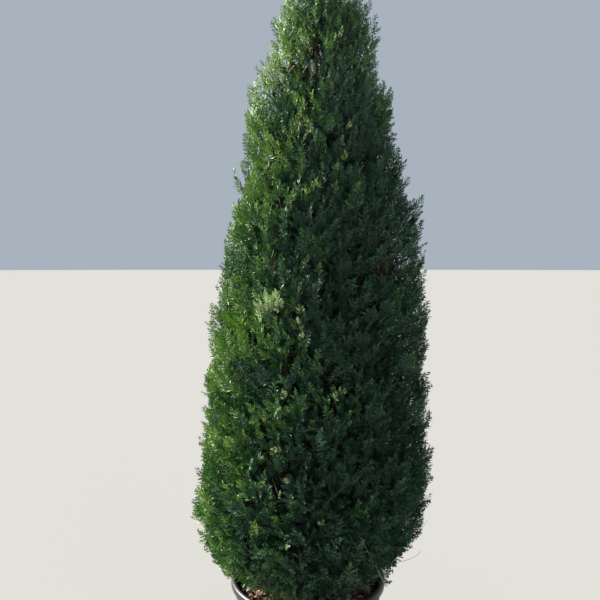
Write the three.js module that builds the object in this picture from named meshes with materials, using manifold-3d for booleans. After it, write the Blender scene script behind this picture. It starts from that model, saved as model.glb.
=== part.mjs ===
// A potted thuja: a narrow evergreen on one trunk, in a round plastic nursery pot.
// Millimetres, +Z up. The origin is the centre of the pot's flat underside, and the front faces -Y.
// The plant is worked out round a straight upright axis, and bend() then gives it its lean.
import * as THREE from "three";
import { mergeVertices } from "three/addons/utils/BufferGeometryUtils.js";
import Module from "manifold-3d";

const wasm = await Module();
wasm.setup();

// Driving dimensions of the pot and what fills it
const CLEARANCE = 0.35;
const POT_HEIGHT = 400;
const POT_FOOT_RADIUS = 215;
const POT_MOUTH_RADIUS = 262;
const POT_WALL = 4;
const POT_CHAMFER = 6;
const LIP_DEPTH = 26;
const LIP_OVERHANG = 11;
const LIP_ROUND = 6;
const POT_SIDES = 36;
const DRAIN_HOLES = 6;
const DRAIN_RADIUS = 16;
const DRAIN_HEIGHT = 26;
const DRILL_LENGTH = 40;
const DRILL_SIDES = 8;
const SOIL_BELOW_LIP = 34;
const SOIL_DOME = 14;
const SOIL_FLAT_RADIUS = 70;
const SOIL_SHOULDER = { out: 0.5, up: 0.7 };

// Driving dimensions of the trunk
const GROUND = POT_HEIGHT - SOIL_BELOW_LIP + SOIL_DOME;
const TRUNK_RADIUS = 27;
const TRUNK_TIP_RADIUS = 6;
const TRUNK_TIP = 2290;
const TRUNK_TAPER = 0.85;
const TRUNK_SIDES = 10;
const TRUNK_RINGS = 12;
const RINGS_TOWARDS_FOOT = 1.7;
const FLARE = 17;
const FLARE_HEIGHT = 46;
const FLARE_LOBES = 4;
const LOBE_DEPTH = 0.3;
const LOBE_TURN = 0.6;
const LEAN = 30;
const SWAY = 9;
const SWAY_WAVES = 0.8;

// Driving dimensions of the crown: its outline, and how its tiers sweep up from the trunk
const CROWN_FOOT = 470;
const CROWN_TOP = 2760;
const CROWN_RADIUS = 412;
const CROWN_TAPER = 2.2;
const SKIRT_SHARE = 0.1;
const SKIRT_TUCK = 0.2;
const FULLER_SIDE = 0.25;
const TIERS = [
  { foot: 470, sweep: 0, count: 6 },
  { foot: 820, sweep: 0.3, count: 5 },
  { foot: 1160, sweep: 0.5, count: 5 },
  { foot: 1490, sweep: 0.65, count: 4 },
  { foot: 1810, sweep: 0.8, count: 4 },
  { foot: 2120, sweep: 0.95, count: 3 },
  { foot: 2390, sweep: 1.1, count: 1 },
];
const TIER_TURN = 0.62;
const MASS_GAP = 1.5;
const BULGE = 0.05;
const FIT_ROUNDS = 8;

// Driving dimensions of the boughs and of one mass of foliage, as shares of the mass's own space
const BOUGH_RADIUS = [8.5, 4.25];
const BOUGH_TIP_SHARE = 0.62;
const BOUGH_SIDES = 5;
const BOUGH_STEPS = 3;
const BOUGH_ROOT = 0.35;
const BOUGH_LIFT = [0.16, 0.36];
const BOUGH_CURVE = 1.4;
const ENTRY = 0.35;
const ENTRY_TUCK = 0.6;
const STEM_LEAD = 12;
const STEM_TAPER = 0.6;
const CORE_MIDDLE = 0.64;
const CORE_HALF = { across: 0.975, out: 0.23 };
const CORE_LEVELS = [
  { up: 0.045, girth: 0.94 },
  { up: 0.3, girth: 1 },
  { up: 0.7, girth: 1 },
  { up: 0.94, girth: 0.9 },
];
const CORE_RING = [
  { across: -0.5, out: 1 },
  { across: 0.5, out: 1 },
  { across: 1, out: 0.5 },
  { across: 1, out: -0.55 },
  { across: 0.6, out: -1 },
  { across: -0.6, out: -1 },
  { across: -1, out: -0.55 },
  { across: -1, out: 0.5 },
];
const CORE_ROUGHNESS = 0.06;
const CORE_USE = 20;
const SPRAYS = [12, 12, 11, 11, 10, 10];
const SPRAY_USE = 100;
const USES_PER_SPRAY = 7;
const SPRAY_SPREAD = 1.84;
const SPRAY_JITTER = 0.08;
const SPRAY_ROOT = { across: 0.85, out: 0.73 };
const SPRAY_ROOT_UP = [0.08, 0.76];
const SPRAY_TIP_UP = [0.1, 0.975];
const SPRAY_REACH = [0.97, 1.05];
const SPRAY_TWIST = 1.2;
const SPRAY_WIDTH = [0.74, 0.9];
const SPRAY_THICKNESS = 0.03;
const SPRAY_RIDGE = 0.52;
const SHORTER = [1, 0.86, 0.72, 0.6];

// Driving dimensions of the leader's foliage, round the stem that carries on from the trunk
const LEADER_RINGS = [
  { z: 2312, girth: 0.3 },
  { z: 2400, girth: 0.68 },
  { z: 2530, girth: 0.66 },
  { z: 2640, girth: 0.4 },
];
const LEADER_SIDES = 8;
const LEADER_SPRAYS = 12;
const LEADER_RISE = [85, 125];
const LEADER_ROOTS = { foot: 50, top: 12, out: 0.3 };
const LEADER_TURN = 2.4;
const LEADER_JITTER = 0.5;
const LEADER_TWIST = [0.4, 2.7];
const LEADER_SPRAY_WIDTH = 0.5;
const LEADER_STEM_TOP = { above: 40, radius: 2 };
const TOP_SPRAY = { below: 40, width: 62, turn: 0.4 };

const GREEN = 0x2f5e22;
const BARK = 0x5a4636;
const BLACK = 0x1d1f21;
const MULCH = 0x6b4f38;

const clamp = (value, low, high) => Math.min(high, Math.max(low, value));
const mix = (from, to, share) => from + (to - from) * share;
const GOLDEN_SHARE = (Math.sqrt(5) - 1) / 2;
const NEARLY_UPRIGHT = 0.05;

// A number from 0 to 1 that depends only on which tier, which member of it and what it is for.
function chance(tier, member, use) {
  const wave = Math.sin(tier * 12.9898 + member * 78.233 + use * 37.719) * 43758.5453;
  return wave - Math.floor(wave);
}

// Shifts a point of the upright plant sideways, to where the leaning trunk holds it.
function bend(point) {
  const share = (point.z - GROUND) / (CROWN_TOP - GROUND);
  const x = LEAN * share - SWAY * Math.sin(2 * Math.PI * SWAY_WAVES * share);
  const y = SWAY * Math.sin(Math.PI * share);
  return new THREE.Vector3(point.x + x, point.y + y, point.z);
}

// The crown's radius at a height and an azimuth, fuller towards +X as it rises.
function outline(z, azimuth) {
  const share = clamp((z - CROWN_FOOT) / (CROWN_TOP - CROWN_FOOT), 0, 1);
  const tuck = Math.max(0, 1 - share / SKIRT_SHARE);
  const radius = CROWN_RADIUS * (1 - share ** CROWN_TAPER) * (1 - SKIRT_TUCK * tuck * tuck);
  return radius * (1 + FULLER_SIDE * share * Math.cos(azimuth));
}

// The trunk's radius at a height, without the root flare at its foot.
function trunkRadius(z) {
  const share = (z - GROUND) / (TRUNK_TIP - GROUND);
  return mix(TRUNK_RADIUS, TRUNK_TIP_RADIUS, share ** TRUNK_TAPER);
}

const polar = (radius, azimuth, z) =>
  new THREE.Vector3(radius * Math.cos(azimuth), radius * Math.sin(azimuth), z);

// Turns points and triangles into a solid for joining and cutting.
function solid(points, triangles) {
  const properties = Float32Array.from(points.flatMap((p) => [p.x, p.y, p.z]));
  const triVerts = Uint32Array.from(triangles.flat());
  return new wasm.Manifold(new wasm.Mesh({ numProp: 3, vertProperties: properties, triVerts }));
}

// Turns a three.js geometry into a solid.
function solidFrom(geometry) {
  const bare = geometry.clone();
  bare.deleteAttribute("normal");
  bare.deleteAttribute("uv");
  const merged = mergeVertices(bare);
  const properties = merged.attributes.position.array;
  const triVerts = new Uint32Array(merged.index.array);
  return new wasm.Manifold(new wasm.Mesh({ numProp: 3, vertProperties: properties, triVerts }));
}

// A closed solid through rings of points, each ring running anticlockwise seen from the last one.
function loft(rings) {
  const count = rings[0].length;
  const triangles = [];
  for (let ring = 0; ring < rings.length - 1; ring++) {
    for (let side = 0; side < count; side++) {
      const a = ring * count + side;
      const b = ring * count + ((side + 1) % count);
      triangles.push([a, b, b + count], [a, b + count, a + count]);
    }
  }
  const last = (rings.length - 1) * count;
  for (let side = 1; side < count - 1; side++) {
    triangles.push([0, side + 1, side], [last, last + side, last + side + 1]);
  }
  return solid(rings.flat().map(bend), triangles);
}

// A tapering limb along a path, with flat ends square to it.
function limb(path, radii, sides) {
  const rings = path.map((point, step) => {
    const before = path[Math.max(0, step - 1)];
    const after = path[Math.min(path.length - 1, step + 1)];
    const along = after.clone().sub(before).normalize();
    const across = new THREE.Vector3(-along.y, along.x, 0);
    if (across.length() < NEARLY_UPRIGHT) across.set(1, 0, 0);
    across.addScaledVector(along, -across.dot(along)).normalize();
    const upright = along.clone().cross(across);
    return Array.from({ length: sides }, (_, side) => {
      const turn = (2 * Math.PI * side) / sides;
      return point
        .clone()
        .addScaledVector(across, radii[step] * Math.cos(turn))
        .addScaledVector(upright, radii[step] * Math.sin(turn));
    });
  });
  return loft(rings);
}

// The outline of a spray of scale leaves: shares of its length along it and of its width across it.
const SPRAY_OUTLINE = [
  [0, 0],
  [0.34, -0.5],
  [0.5, -0.3],
  [0.76, -0.42],
  [1, 0],
  [0.8, 0.38],
  [0.54, 0.28],
  [0.38, 0.5],
];

// The corner points of a flat toothed spray: its outline, then the ridge on each face.
function sprayPoints(root, tip, flat, width) {
  const along = tip.clone().sub(root);
  const across = flat.clone().addScaledVector(along, -flat.dot(along) / along.lengthSq()).normalize();
  const normal = along.clone().normalize().cross(across);
  const ridge = (along.length() * SPRAY_THICKNESS) / 2;
  const at = (share, side) =>
    root.clone().addScaledVector(along, share).addScaledVector(across, side * width);
  const edge = SPRAY_OUTLINE.map(([share, side]) => at(share, side));
  const ridges = [ridge, -ridge].map((height) => at(SPRAY_RIDGE, 0).addScaledVector(normal, height));
  return [...edge, ...ridges];
}

// A spray as a solid: two low fans that meet at its toothed edge.
function spraySolid(points) {
  const count = SPRAY_OUTLINE.length;
  const triangles = [];
  for (let side = 0; side < count; side++) {
    const next = (side + 1) % count;
    triangles.push([count, side, next], [count + 1, next, side]);
  }
  return solid(points.map(bend), triangles);
}

// One mass's own space: a wedge of one tier, between two upswept cones and two upright planes.
class Space {
  constructor(tier, member) {
    this.tier = tier;
    this.member = member;
    this.halfAngle = Math.PI / TIERS[tier].count;
    this.azimuth = (member + 0.5 + tier * TIER_TURN) * 2 * this.halfAngle;
  }

  // The height at a radius, from 0 at the space's floor to 1 at its ceiling.
  height(radius, up) {
    const low = TIERS[this.tier];
    const high = TIERS[this.tier + 1];
    const floor = low.foot - low.sweep * (outline(low.foot, Math.PI / 2) - radius);
    const ceiling = high.foot - high.sweep * (outline(high.foot, Math.PI / 2) - radius);
    return mix(floor, ceiling, up);
  }

  // A point from its shares across, out to the crown's outline, and up.
  place(across, out, up) {
    const azimuth = this.azimuth + across * this.halfAngle;
    const bulge = 1 - BULGE * (across * across + (2 * up - 1) ** 2) * out;
    let radius = CROWN_RADIUS * out;
    for (let round = 0; round < FIT_ROUNDS; round++) {
      radius = out * bulge * outline(this.height(radius, up), azimuth);
    }
    return polar(radius, azimuth, this.height(radius, up));
  }

  // Whether a point keeps to the space.
  holds(point) {
    const radius = Math.hypot(point.x, point.y);
    const azimuth = Math.atan2(point.y, point.x) - this.azimuth;
    const turn = Math.atan2(Math.sin(azimuth), Math.cos(azimuth));
    const side = radius * Math.sin(Math.min(Math.PI / 2, this.halfAngle - Math.abs(turn)));
    const floor = this.height(radius, 0);
    const ceiling = this.height(radius, 1);
    const upright = side > MASS_GAP && point.z > floor + 2 * MASS_GAP && point.z < ceiling - 2 * MASS_GAP;
    return upright && radius > trunkRadius(point.z) + 3 * MASS_GAP;
  }

  // The bough's path from inside the trunk to where it enters the mass, short of the core's flat inner face.
  boughPath() {
    const start = BOUGH_ROOT * trunkRadius(this.height(0, BOUGH_LIFT[0]));
    const entry = this.place(0, ENTRY * Math.cos(ENTRY_TUCK * this.halfAngle), BOUGH_LIFT[1]);
    const reach = Math.hypot(entry.x, entry.y);
    return Array.from({ length: BOUGH_STEPS + 1 }, (_, step) => {
      const share = step / BOUGH_STEPS;
      const radius = mix(start, reach, share);
      return polar(radius, this.azimuth, this.height(radius, mix(...BOUGH_LIFT, share ** BOUGH_CURVE)));
    });
  }

  // The bough's radius at the trunk, finer in each higher tier.
  boughRadius() {
    return mix(...BOUGH_RADIUS, this.tier / (TIERS.length - 2));
  }
}

// Keeps the one body of a join that matters: scraps and sealed hollows are dropped.
function wholeOf(parts) {
  const joined = parts.reduce((all, part) => all.add(part));
  const bodies = joined.decompose();
  return bodies.reduce((best, body) => (body.volume() > best.volume() ? body : best));
}

// The dense core of a mass, which keeps clear of the space's walls.
function core(space) {
  const rings = CORE_LEVELS.map(({ up, girth }, level) =>
    CORE_RING.map((corner, side) => {
      const use = CORE_USE + level * CORE_RING.length + side;
      const rough = 1 - CORE_ROUGHNESS * chance(space.tier, space.member, use);
      const across = CORE_HALF.across * girth * rough * corner.across;
      const out = CORE_MIDDLE + CORE_HALF.out * girth * rough * corner.out;
      return space.place(across, out, up);
    }),
  );
  return loft(rings);
}

// The sprays of a mass, each rooted in its core and reaching to the crown's outline.
function sprays(space) {
  const count = SPRAYS[space.tier];
  const kept = [];
  for (let index = 0; index < count; index++) {
    const seed = (use) => chance(space.tier, space.member, SPRAY_USE + index * USES_PER_SPRAY + use);
    const up = (index + 0.5) / count;
    const spread = SPRAY_SPREAD * (((index * GOLDEN_SHARE) % 1) - 0.5);
    const across = spread + mix(-SPRAY_JITTER, SPRAY_JITTER, seed(0));
    const root = space.place(across * SPRAY_ROOT.across, SPRAY_ROOT.out, mix(...SPRAY_ROOT_UP, up));
    const goal = space.place(across, mix(...SPRAY_REACH, seed(1)), mix(...SPRAY_TIP_UP, up));
    for (const shorter of SHORTER) {
      const tip = root.clone().lerp(goal, shorter);
      const sideways = space.azimuth + across * space.halfAngle + Math.PI / 2;
      const twist = mix(-SPRAY_TWIST, SPRAY_TWIST, seed(2));
      const flat = polar(Math.cos(twist), sideways, Math.sin(twist));
      const width = tip.distanceTo(root) * mix(...SPRAY_WIDTH, seed(3)) * Math.sqrt(shorter);
      const points = sprayPoints(root, tip, flat, width);
      if (points.every((point) => space.holds(point))) {
        kept.push(spraySolid(points));
        break;
      }
    }
  }
  return kept;
}

// A three-sided stem from the bough's tip into the core.
function stem(space) {
  const path = space.boughPath();
  const end = path[path.length - 1];
  const along = end.clone().sub(path[path.length - 2]).normalize();
  const start = end.clone().addScaledVector(along, CLEARANCE);
  const inside = space.place(0, CORE_MIDDLE, 0.5);
  const radius = space.boughRadius() * BOUGH_TIP_SHARE;
  const lead = start.clone().addScaledVector(along, STEM_LEAD);
  return limb([start, lead, inside], [radius, radius, radius * STEM_TAPER], 3);
}

const massSolid = (space) => wholeOf([core(space), stem(space), ...sprays(space)]);

// The leader's foliage: a slim core round the stem that carries on from the trunk's tip.
function leaderSolid() {
  const level = TIERS.length - 1;
  const foot = TRUNK_TIP + CLEARANCE;
  const coreFoot = LEADER_RINGS[0].z;
  const coreTop = LEADER_RINGS[LEADER_RINGS.length - 1].z;
  const rings = LEADER_RINGS.map(({ z, girth }) =>
    Array.from({ length: LEADER_SIDES }, (_, side) => {
      const turn = (2 * Math.PI * side) / LEADER_SIDES;
      return polar(outline(z, turn) * girth, turn, z);
    }),
  );
  const axis = (z) => new THREE.Vector3(0, 0, z);
  const parts = [loft(rings)];
  const stemTop = axis(coreTop + LEADER_STEM_TOP.above);
  parts.push(limb([axis(foot), stemTop], [TRUNK_TIP_RADIUS, LEADER_STEM_TOP.radius], 3));
  for (let index = 0; index < LEADER_SPRAYS; index++) {
    const share = index / (LEADER_SPRAYS - 1);
    const turn = index * LEADER_TURN + LEADER_JITTER * chance(level, 0, index);
    const z = mix(coreFoot + LEADER_ROOTS.foot, coreTop - LEADER_ROOTS.top, share);
    const tipHeight = z + mix(...LEADER_RISE, chance(level, 1, index));
    const reach = outline(tipHeight, turn) * mix(...SPRAY_REACH, chance(level, 2, index));
    const tip = polar(reach, turn, tipHeight);
    const root = polar(outline(z, turn) * LEADER_ROOTS.out, turn, z);
    const flat = polar(1, turn + mix(...LEADER_TWIST, chance(level, 3, index)), 0);
    parts.push(spraySolid(sprayPoints(root, tip, flat, tip.distanceTo(root) * LEADER_SPRAY_WIDTH)));
  }
  const topRoot = axis(coreTop - TOP_SPRAY.below);
  const topFlat = polar(1, TOP_SPRAY.turn, 0);
  parts.push(spraySolid(sprayPoints(topRoot, axis(CROWN_TOP), topFlat, TOP_SPRAY.width)));
  return wholeOf(parts);
}

// The trunk, or with grow above 0 the sleeve that holds its neighbours clear of it.
function trunkSolid(grow) {
  const rings = Array.from({ length: TRUNK_RINGS + 1 }, (_, ring) => {
    const share = (ring / TRUNK_RINGS) ** RINGS_TOWARDS_FOOT;
    const z = mix(GROUND + CLEARANCE - grow, TRUNK_TIP + grow, share);
    return Array.from({ length: TRUNK_SIDES }, (_, side) => {
      const turn = (2 * Math.PI * side) / TRUNK_SIDES;
      const lobe = 1 + LOBE_DEPTH * Math.cos(FLARE_LOBES * turn + LOBE_TURN);
      const flare = FLARE * lobe * Math.exp(-(z - GROUND) / FLARE_HEIGHT);
      return polar(trunkRadius(z) + flare + grow, turn, z);
    });
  });
  return loft(rings);
}

// A bough: one tapering limb, cut 0.3 mm clear of the trunk that it leaves.
function boughSolid(space, sleeve) {
  const path = space.boughPath();
  const thick = space.boughRadius();
  const radii = path.map((_, step) => mix(thick, thick * BOUGH_TIP_SHARE, step / BOUGH_STEPS));
  return wholeOf([limb(path, radii, BOUGH_SIDES).subtract(sleeve)]);
}

const wallRadius = (z) => mix(POT_FOOT_RADIUS, POT_MOUTH_RADIUS, z / POT_HEIGHT);

// A solid of revolution from radius and height pairs that start and end on the axis.
function turned(profile) {
  const points = profile.map(([radius, z]) => new THREE.Vector2(radius, z));
  return solidFrom(new THREE.LatheGeometry(points, POT_SIDES).rotateX(Math.PI / 2));
}

// The pot: tapered wall, flat underside, overhanging lip, and holes low in the wall for drainage.
function potSolid() {
  const underLip = POT_HEIGHT - LIP_DEPTH;
  const lipRadius = POT_MOUTH_RADIUS + LIP_OVERHANG;
  let pot = turned([
    [0, 0],
    [POT_FOOT_RADIUS - POT_CHAMFER, 0],
    [wallRadius(POT_CHAMFER), POT_CHAMFER],
    [wallRadius(underLip), underLip],
    [lipRadius - LIP_ROUND / 2, underLip],
    [lipRadius, underLip + LIP_ROUND],
    [lipRadius, POT_HEIGHT - LIP_ROUND],
    [lipRadius - LIP_ROUND, POT_HEIGHT],
    [POT_MOUTH_RADIUS, POT_HEIGHT],
    [POT_MOUTH_RADIUS - POT_WALL, POT_HEIGHT - LIP_ROUND],
    [wallRadius(POT_WALL) - POT_WALL, POT_WALL],
    [0, POT_WALL],
  ]);
  for (let hole = 0; hole < DRAIN_HOLES; hole++) {
    const drill = new THREE.CylinderGeometry(DRAIN_RADIUS, DRAIN_RADIUS, DRILL_LENGTH, DRILL_SIDES);
    drill.rotateZ(Math.PI / 2);
    drill.translate(POT_FOOT_RADIUS, 0, DRAIN_HEIGHT);
    drill.rotateZ((2 * Math.PI * (hole + 0.5)) / DRAIN_HOLES);
    pot = pot.subtract(solidFrom(drill));
  }
  return pot;
}

// The filling of potting mix and mulch, which fits the pot and rises to a low flat mound.
function soilSolid() {
  const floor = POT_WALL + CLEARANCE;
  const edge = POT_HEIGHT - SOIL_BELOW_LIP;
  const inside = (z) => wallRadius(z) - POT_WALL - 2 * CLEARANCE;
  return turned([
    [0, floor],
    [inside(floor), floor],
    [inside(edge), edge],
    [mix(inside(edge), SOIL_FLAT_RADIUS, SOIL_SHOULDER.out), edge + SOIL_DOME * SOIL_SHOULDER.up],
    [SOIL_FLAT_RADIUS, GROUND],
    [0, GROUND],
  ]);
}

// A named mesh of one solid in one material.
function mesh(name, body, material) {
  const { vertProperties, triVerts } = body.getMesh();
  const geometry = new THREE.BufferGeometry();
  geometry.setAttribute("position", new THREE.BufferAttribute(new Float32Array(vertProperties), 3));
  geometry.setIndex(new THREE.BufferAttribute(new Uint32Array(triVerts), 1));
  geometry.computeVertexNormals();
  const made = new THREE.Mesh(geometry, material);
  made.name = name;
  return made;
}

const finish = (color, roughness) =>
  new THREE.MeshStandardMaterial({ color, roughness, metalness: 0, flatShading: true });
const foliage = finish(GREEN, 0.7);
const bark = finish(BARK, 0.9);
const plastic = finish(BLACK, 0.5);
const mulch = finish(MULCH, 1);

const thuja = new THREE.Group();
thuja.add(mesh("pot", potSolid(), plastic));
thuja.add(mesh("soil", soilSolid(), mulch));
thuja.add(mesh("trunk", trunkSolid(0), bark));

const sleeve = trunkSolid(CLEARANCE);
for (let tier = 0; tier < TIERS.length - 1; tier++) {
  for (let member = 0; member < TIERS[tier].count; member++) {
    const space = new Space(tier, member);
    const label = `${tier + 1}_${member + 1}`;
    thuja.add(mesh(`bough_${label}`, boughSolid(space, sleeve), bark));
    thuja.add(mesh(`foliage_${label}`, massSolid(space), foliage));
  }
}
thuja.add(mesh("foliage_leader", leaderSolid(), foliage));

export default thuja;
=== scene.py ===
"""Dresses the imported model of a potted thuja: its foliage, twigs, bark, pot and mulch, in a plain studio."""
import logging
import math
from collections.abc import Sequence
from dataclasses import dataclass, field
from enum import Enum
from typing import Protocol

import bpy
import numpy as np
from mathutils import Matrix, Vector


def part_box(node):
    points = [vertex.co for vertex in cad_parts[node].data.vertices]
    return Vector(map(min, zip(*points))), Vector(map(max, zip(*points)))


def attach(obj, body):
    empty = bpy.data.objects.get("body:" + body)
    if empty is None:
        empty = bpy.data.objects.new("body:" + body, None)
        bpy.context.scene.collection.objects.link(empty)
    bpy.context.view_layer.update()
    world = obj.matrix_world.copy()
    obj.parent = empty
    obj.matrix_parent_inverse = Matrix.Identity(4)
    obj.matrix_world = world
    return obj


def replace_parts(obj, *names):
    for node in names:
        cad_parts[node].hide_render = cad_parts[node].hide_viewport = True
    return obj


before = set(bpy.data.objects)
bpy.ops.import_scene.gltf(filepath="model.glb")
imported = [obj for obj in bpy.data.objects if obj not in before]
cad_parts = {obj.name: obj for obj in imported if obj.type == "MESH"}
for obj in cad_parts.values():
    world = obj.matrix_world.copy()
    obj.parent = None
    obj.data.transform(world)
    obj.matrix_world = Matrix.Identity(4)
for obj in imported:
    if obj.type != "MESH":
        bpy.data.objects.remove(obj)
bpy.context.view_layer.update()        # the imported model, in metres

log = logging.getLogger("potted_thuja")

SEED = 359
GOLDEN_SHARE = (math.sqrt(5) - 1) / 2
UP = np.array([0.0, 0.0, 1.0])
LATTICE_FACTORS = (73856093, 19349663, 83492791, 2654435761)
LATTICE_STIR = 1274126177
TIP_REACH = 0.5         # how far a limb's end is drawn out to its point, in shares of its radius
NUDGE = 1e-4            # keeps an upright limb's section from vanishing
LEAF_SHINE = 0.42
Colour = tuple[float, float, float]
Triple = tuple[float, float, float]
Pair = tuple[float, float]
Range = tuple[float, float]
Number = float | np.ndarray


def chance(tier: int, member: int, use: int) -> float:
    """Gives a number that depends only on what it is for, by the rule of the part's source.

    Args:
        tier: The tier of the crown.
        member: The mass within its tier.
        use: What the number is for.

    Returns:
        A number from 0 to 1.
    """
    wave = math.sin(tier * 12.9898 + member * 78.233 + use * 37.719) * 43758.5453
    return wave - math.floor(wave)


def mix(low: Number, high: Number, share: Number) -> Number:
    """Blends from low to high."""
    return low + (high - low) * share


def unit(vectors: np.ndarray) -> np.ndarray:
    """Scales each row of an array to length 1."""
    return vectors / np.linalg.norm(vectors, axis=-1, keepdims=True)


def polar(radius: Number, azimuth: Number, z: Number) -> np.ndarray:
    """Stacks points from their radius, azimuth and height."""
    return np.stack(np.broadcast_arrays(radius * np.cos(azimuth), radius * np.sin(azimuth), z), axis=-1)


def turns(count: int) -> np.ndarray:
    """Angles spread evenly over a full turn."""
    return 2 * np.pi * np.arange(count) / count


def aside(azimuth: np.ndarray, middle: float) -> np.ndarray:
    """How far azimuths lie from a middle one, from minus to plus half a turn."""
    return (azimuth - middle + math.pi) % (2 * math.pi) - math.pi


def value_noise(points: np.ndarray, seed: int) -> np.ndarray:
    """Smooth noise at points, from random numbers on a lattice of unit cells.

    Args:
        points: An array of points, one a row.
        seed: Which of the noises.

    Returns:
        One number from -1 to 1 for each point.
    """
    cell = np.floor(points).astype(np.int64)
    inside = points - cell
    smooth = inside * inside * (3 - 2 * inside)
    total = np.zeros(len(points))
    for corner in np.ndindex(2, 2, 2):
        x, y, z = (cell + np.array(corner)).T * np.array(LATTICE_FACTORS[:3])[:, None]
        mixed = x ^ y ^ z ^ (seed * LATTICE_FACTORS[3])
        mixed = (mixed ^ (mixed >> 13)) * LATTICE_STIR & 0xFFFFFFFF
        number = ((mixed ^ (mixed >> 16)) & 0xFFFF) / 32768 - 1
        total += number * np.prod(np.where(corner, smooth, 1 - smooth), axis=1)
    return total


@dataclass(frozen=True)
class Noise:
    """One smooth noise over the plant: its cells to the metre, where it starts, and which of them it is."""

    cells: float
    shift: float
    use: int

    def at(self, points: np.ndarray) -> np.ndarray:
        """Gives a number from -1 to 1 for each point."""
        return value_noise(points * self.cells + self.shift, SEED + self.use)


class Value:
    """A number that varies over a surface: one output socket, with arithmetic that adds Math nodes."""

    def __init__(self, paint: "Paint", socket: bpy.types.NodeSocket) -> None:
        """Wraps a socket of the paint's node tree."""
        self.paint = paint
        self.socket = socket

    def __add__(self, other: "Value | float") -> "Value":
        """Adds."""
        return self.paint.maths("ADD", self, other)

    __radd__ = __add__

    def __mul__(self, other: "Value | float") -> "Value":
        """Multiplies."""
        return self.paint.maths("MULTIPLY", self, other)

    __rmul__ = __mul__

    def __sub__(self, other: "Value | float") -> "Value":
        """Subtracts a number or a value from this one."""
        return self.paint.maths("SUBTRACT", self, other)

    def __rsub__(self, other: float) -> "Value":
        """Subtracts this number from a plain one."""
        return self.paint.maths("SUBTRACT", other, self)

    def clamped(self, low: float, high: float) -> "Value":
        """Maps the range low to high onto 0 to 1 and holds it there."""
        return self.paint.value("ShaderNodeMapRange", {"clamp": True}, {"Value": self, 1: low, 2: high})


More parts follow.
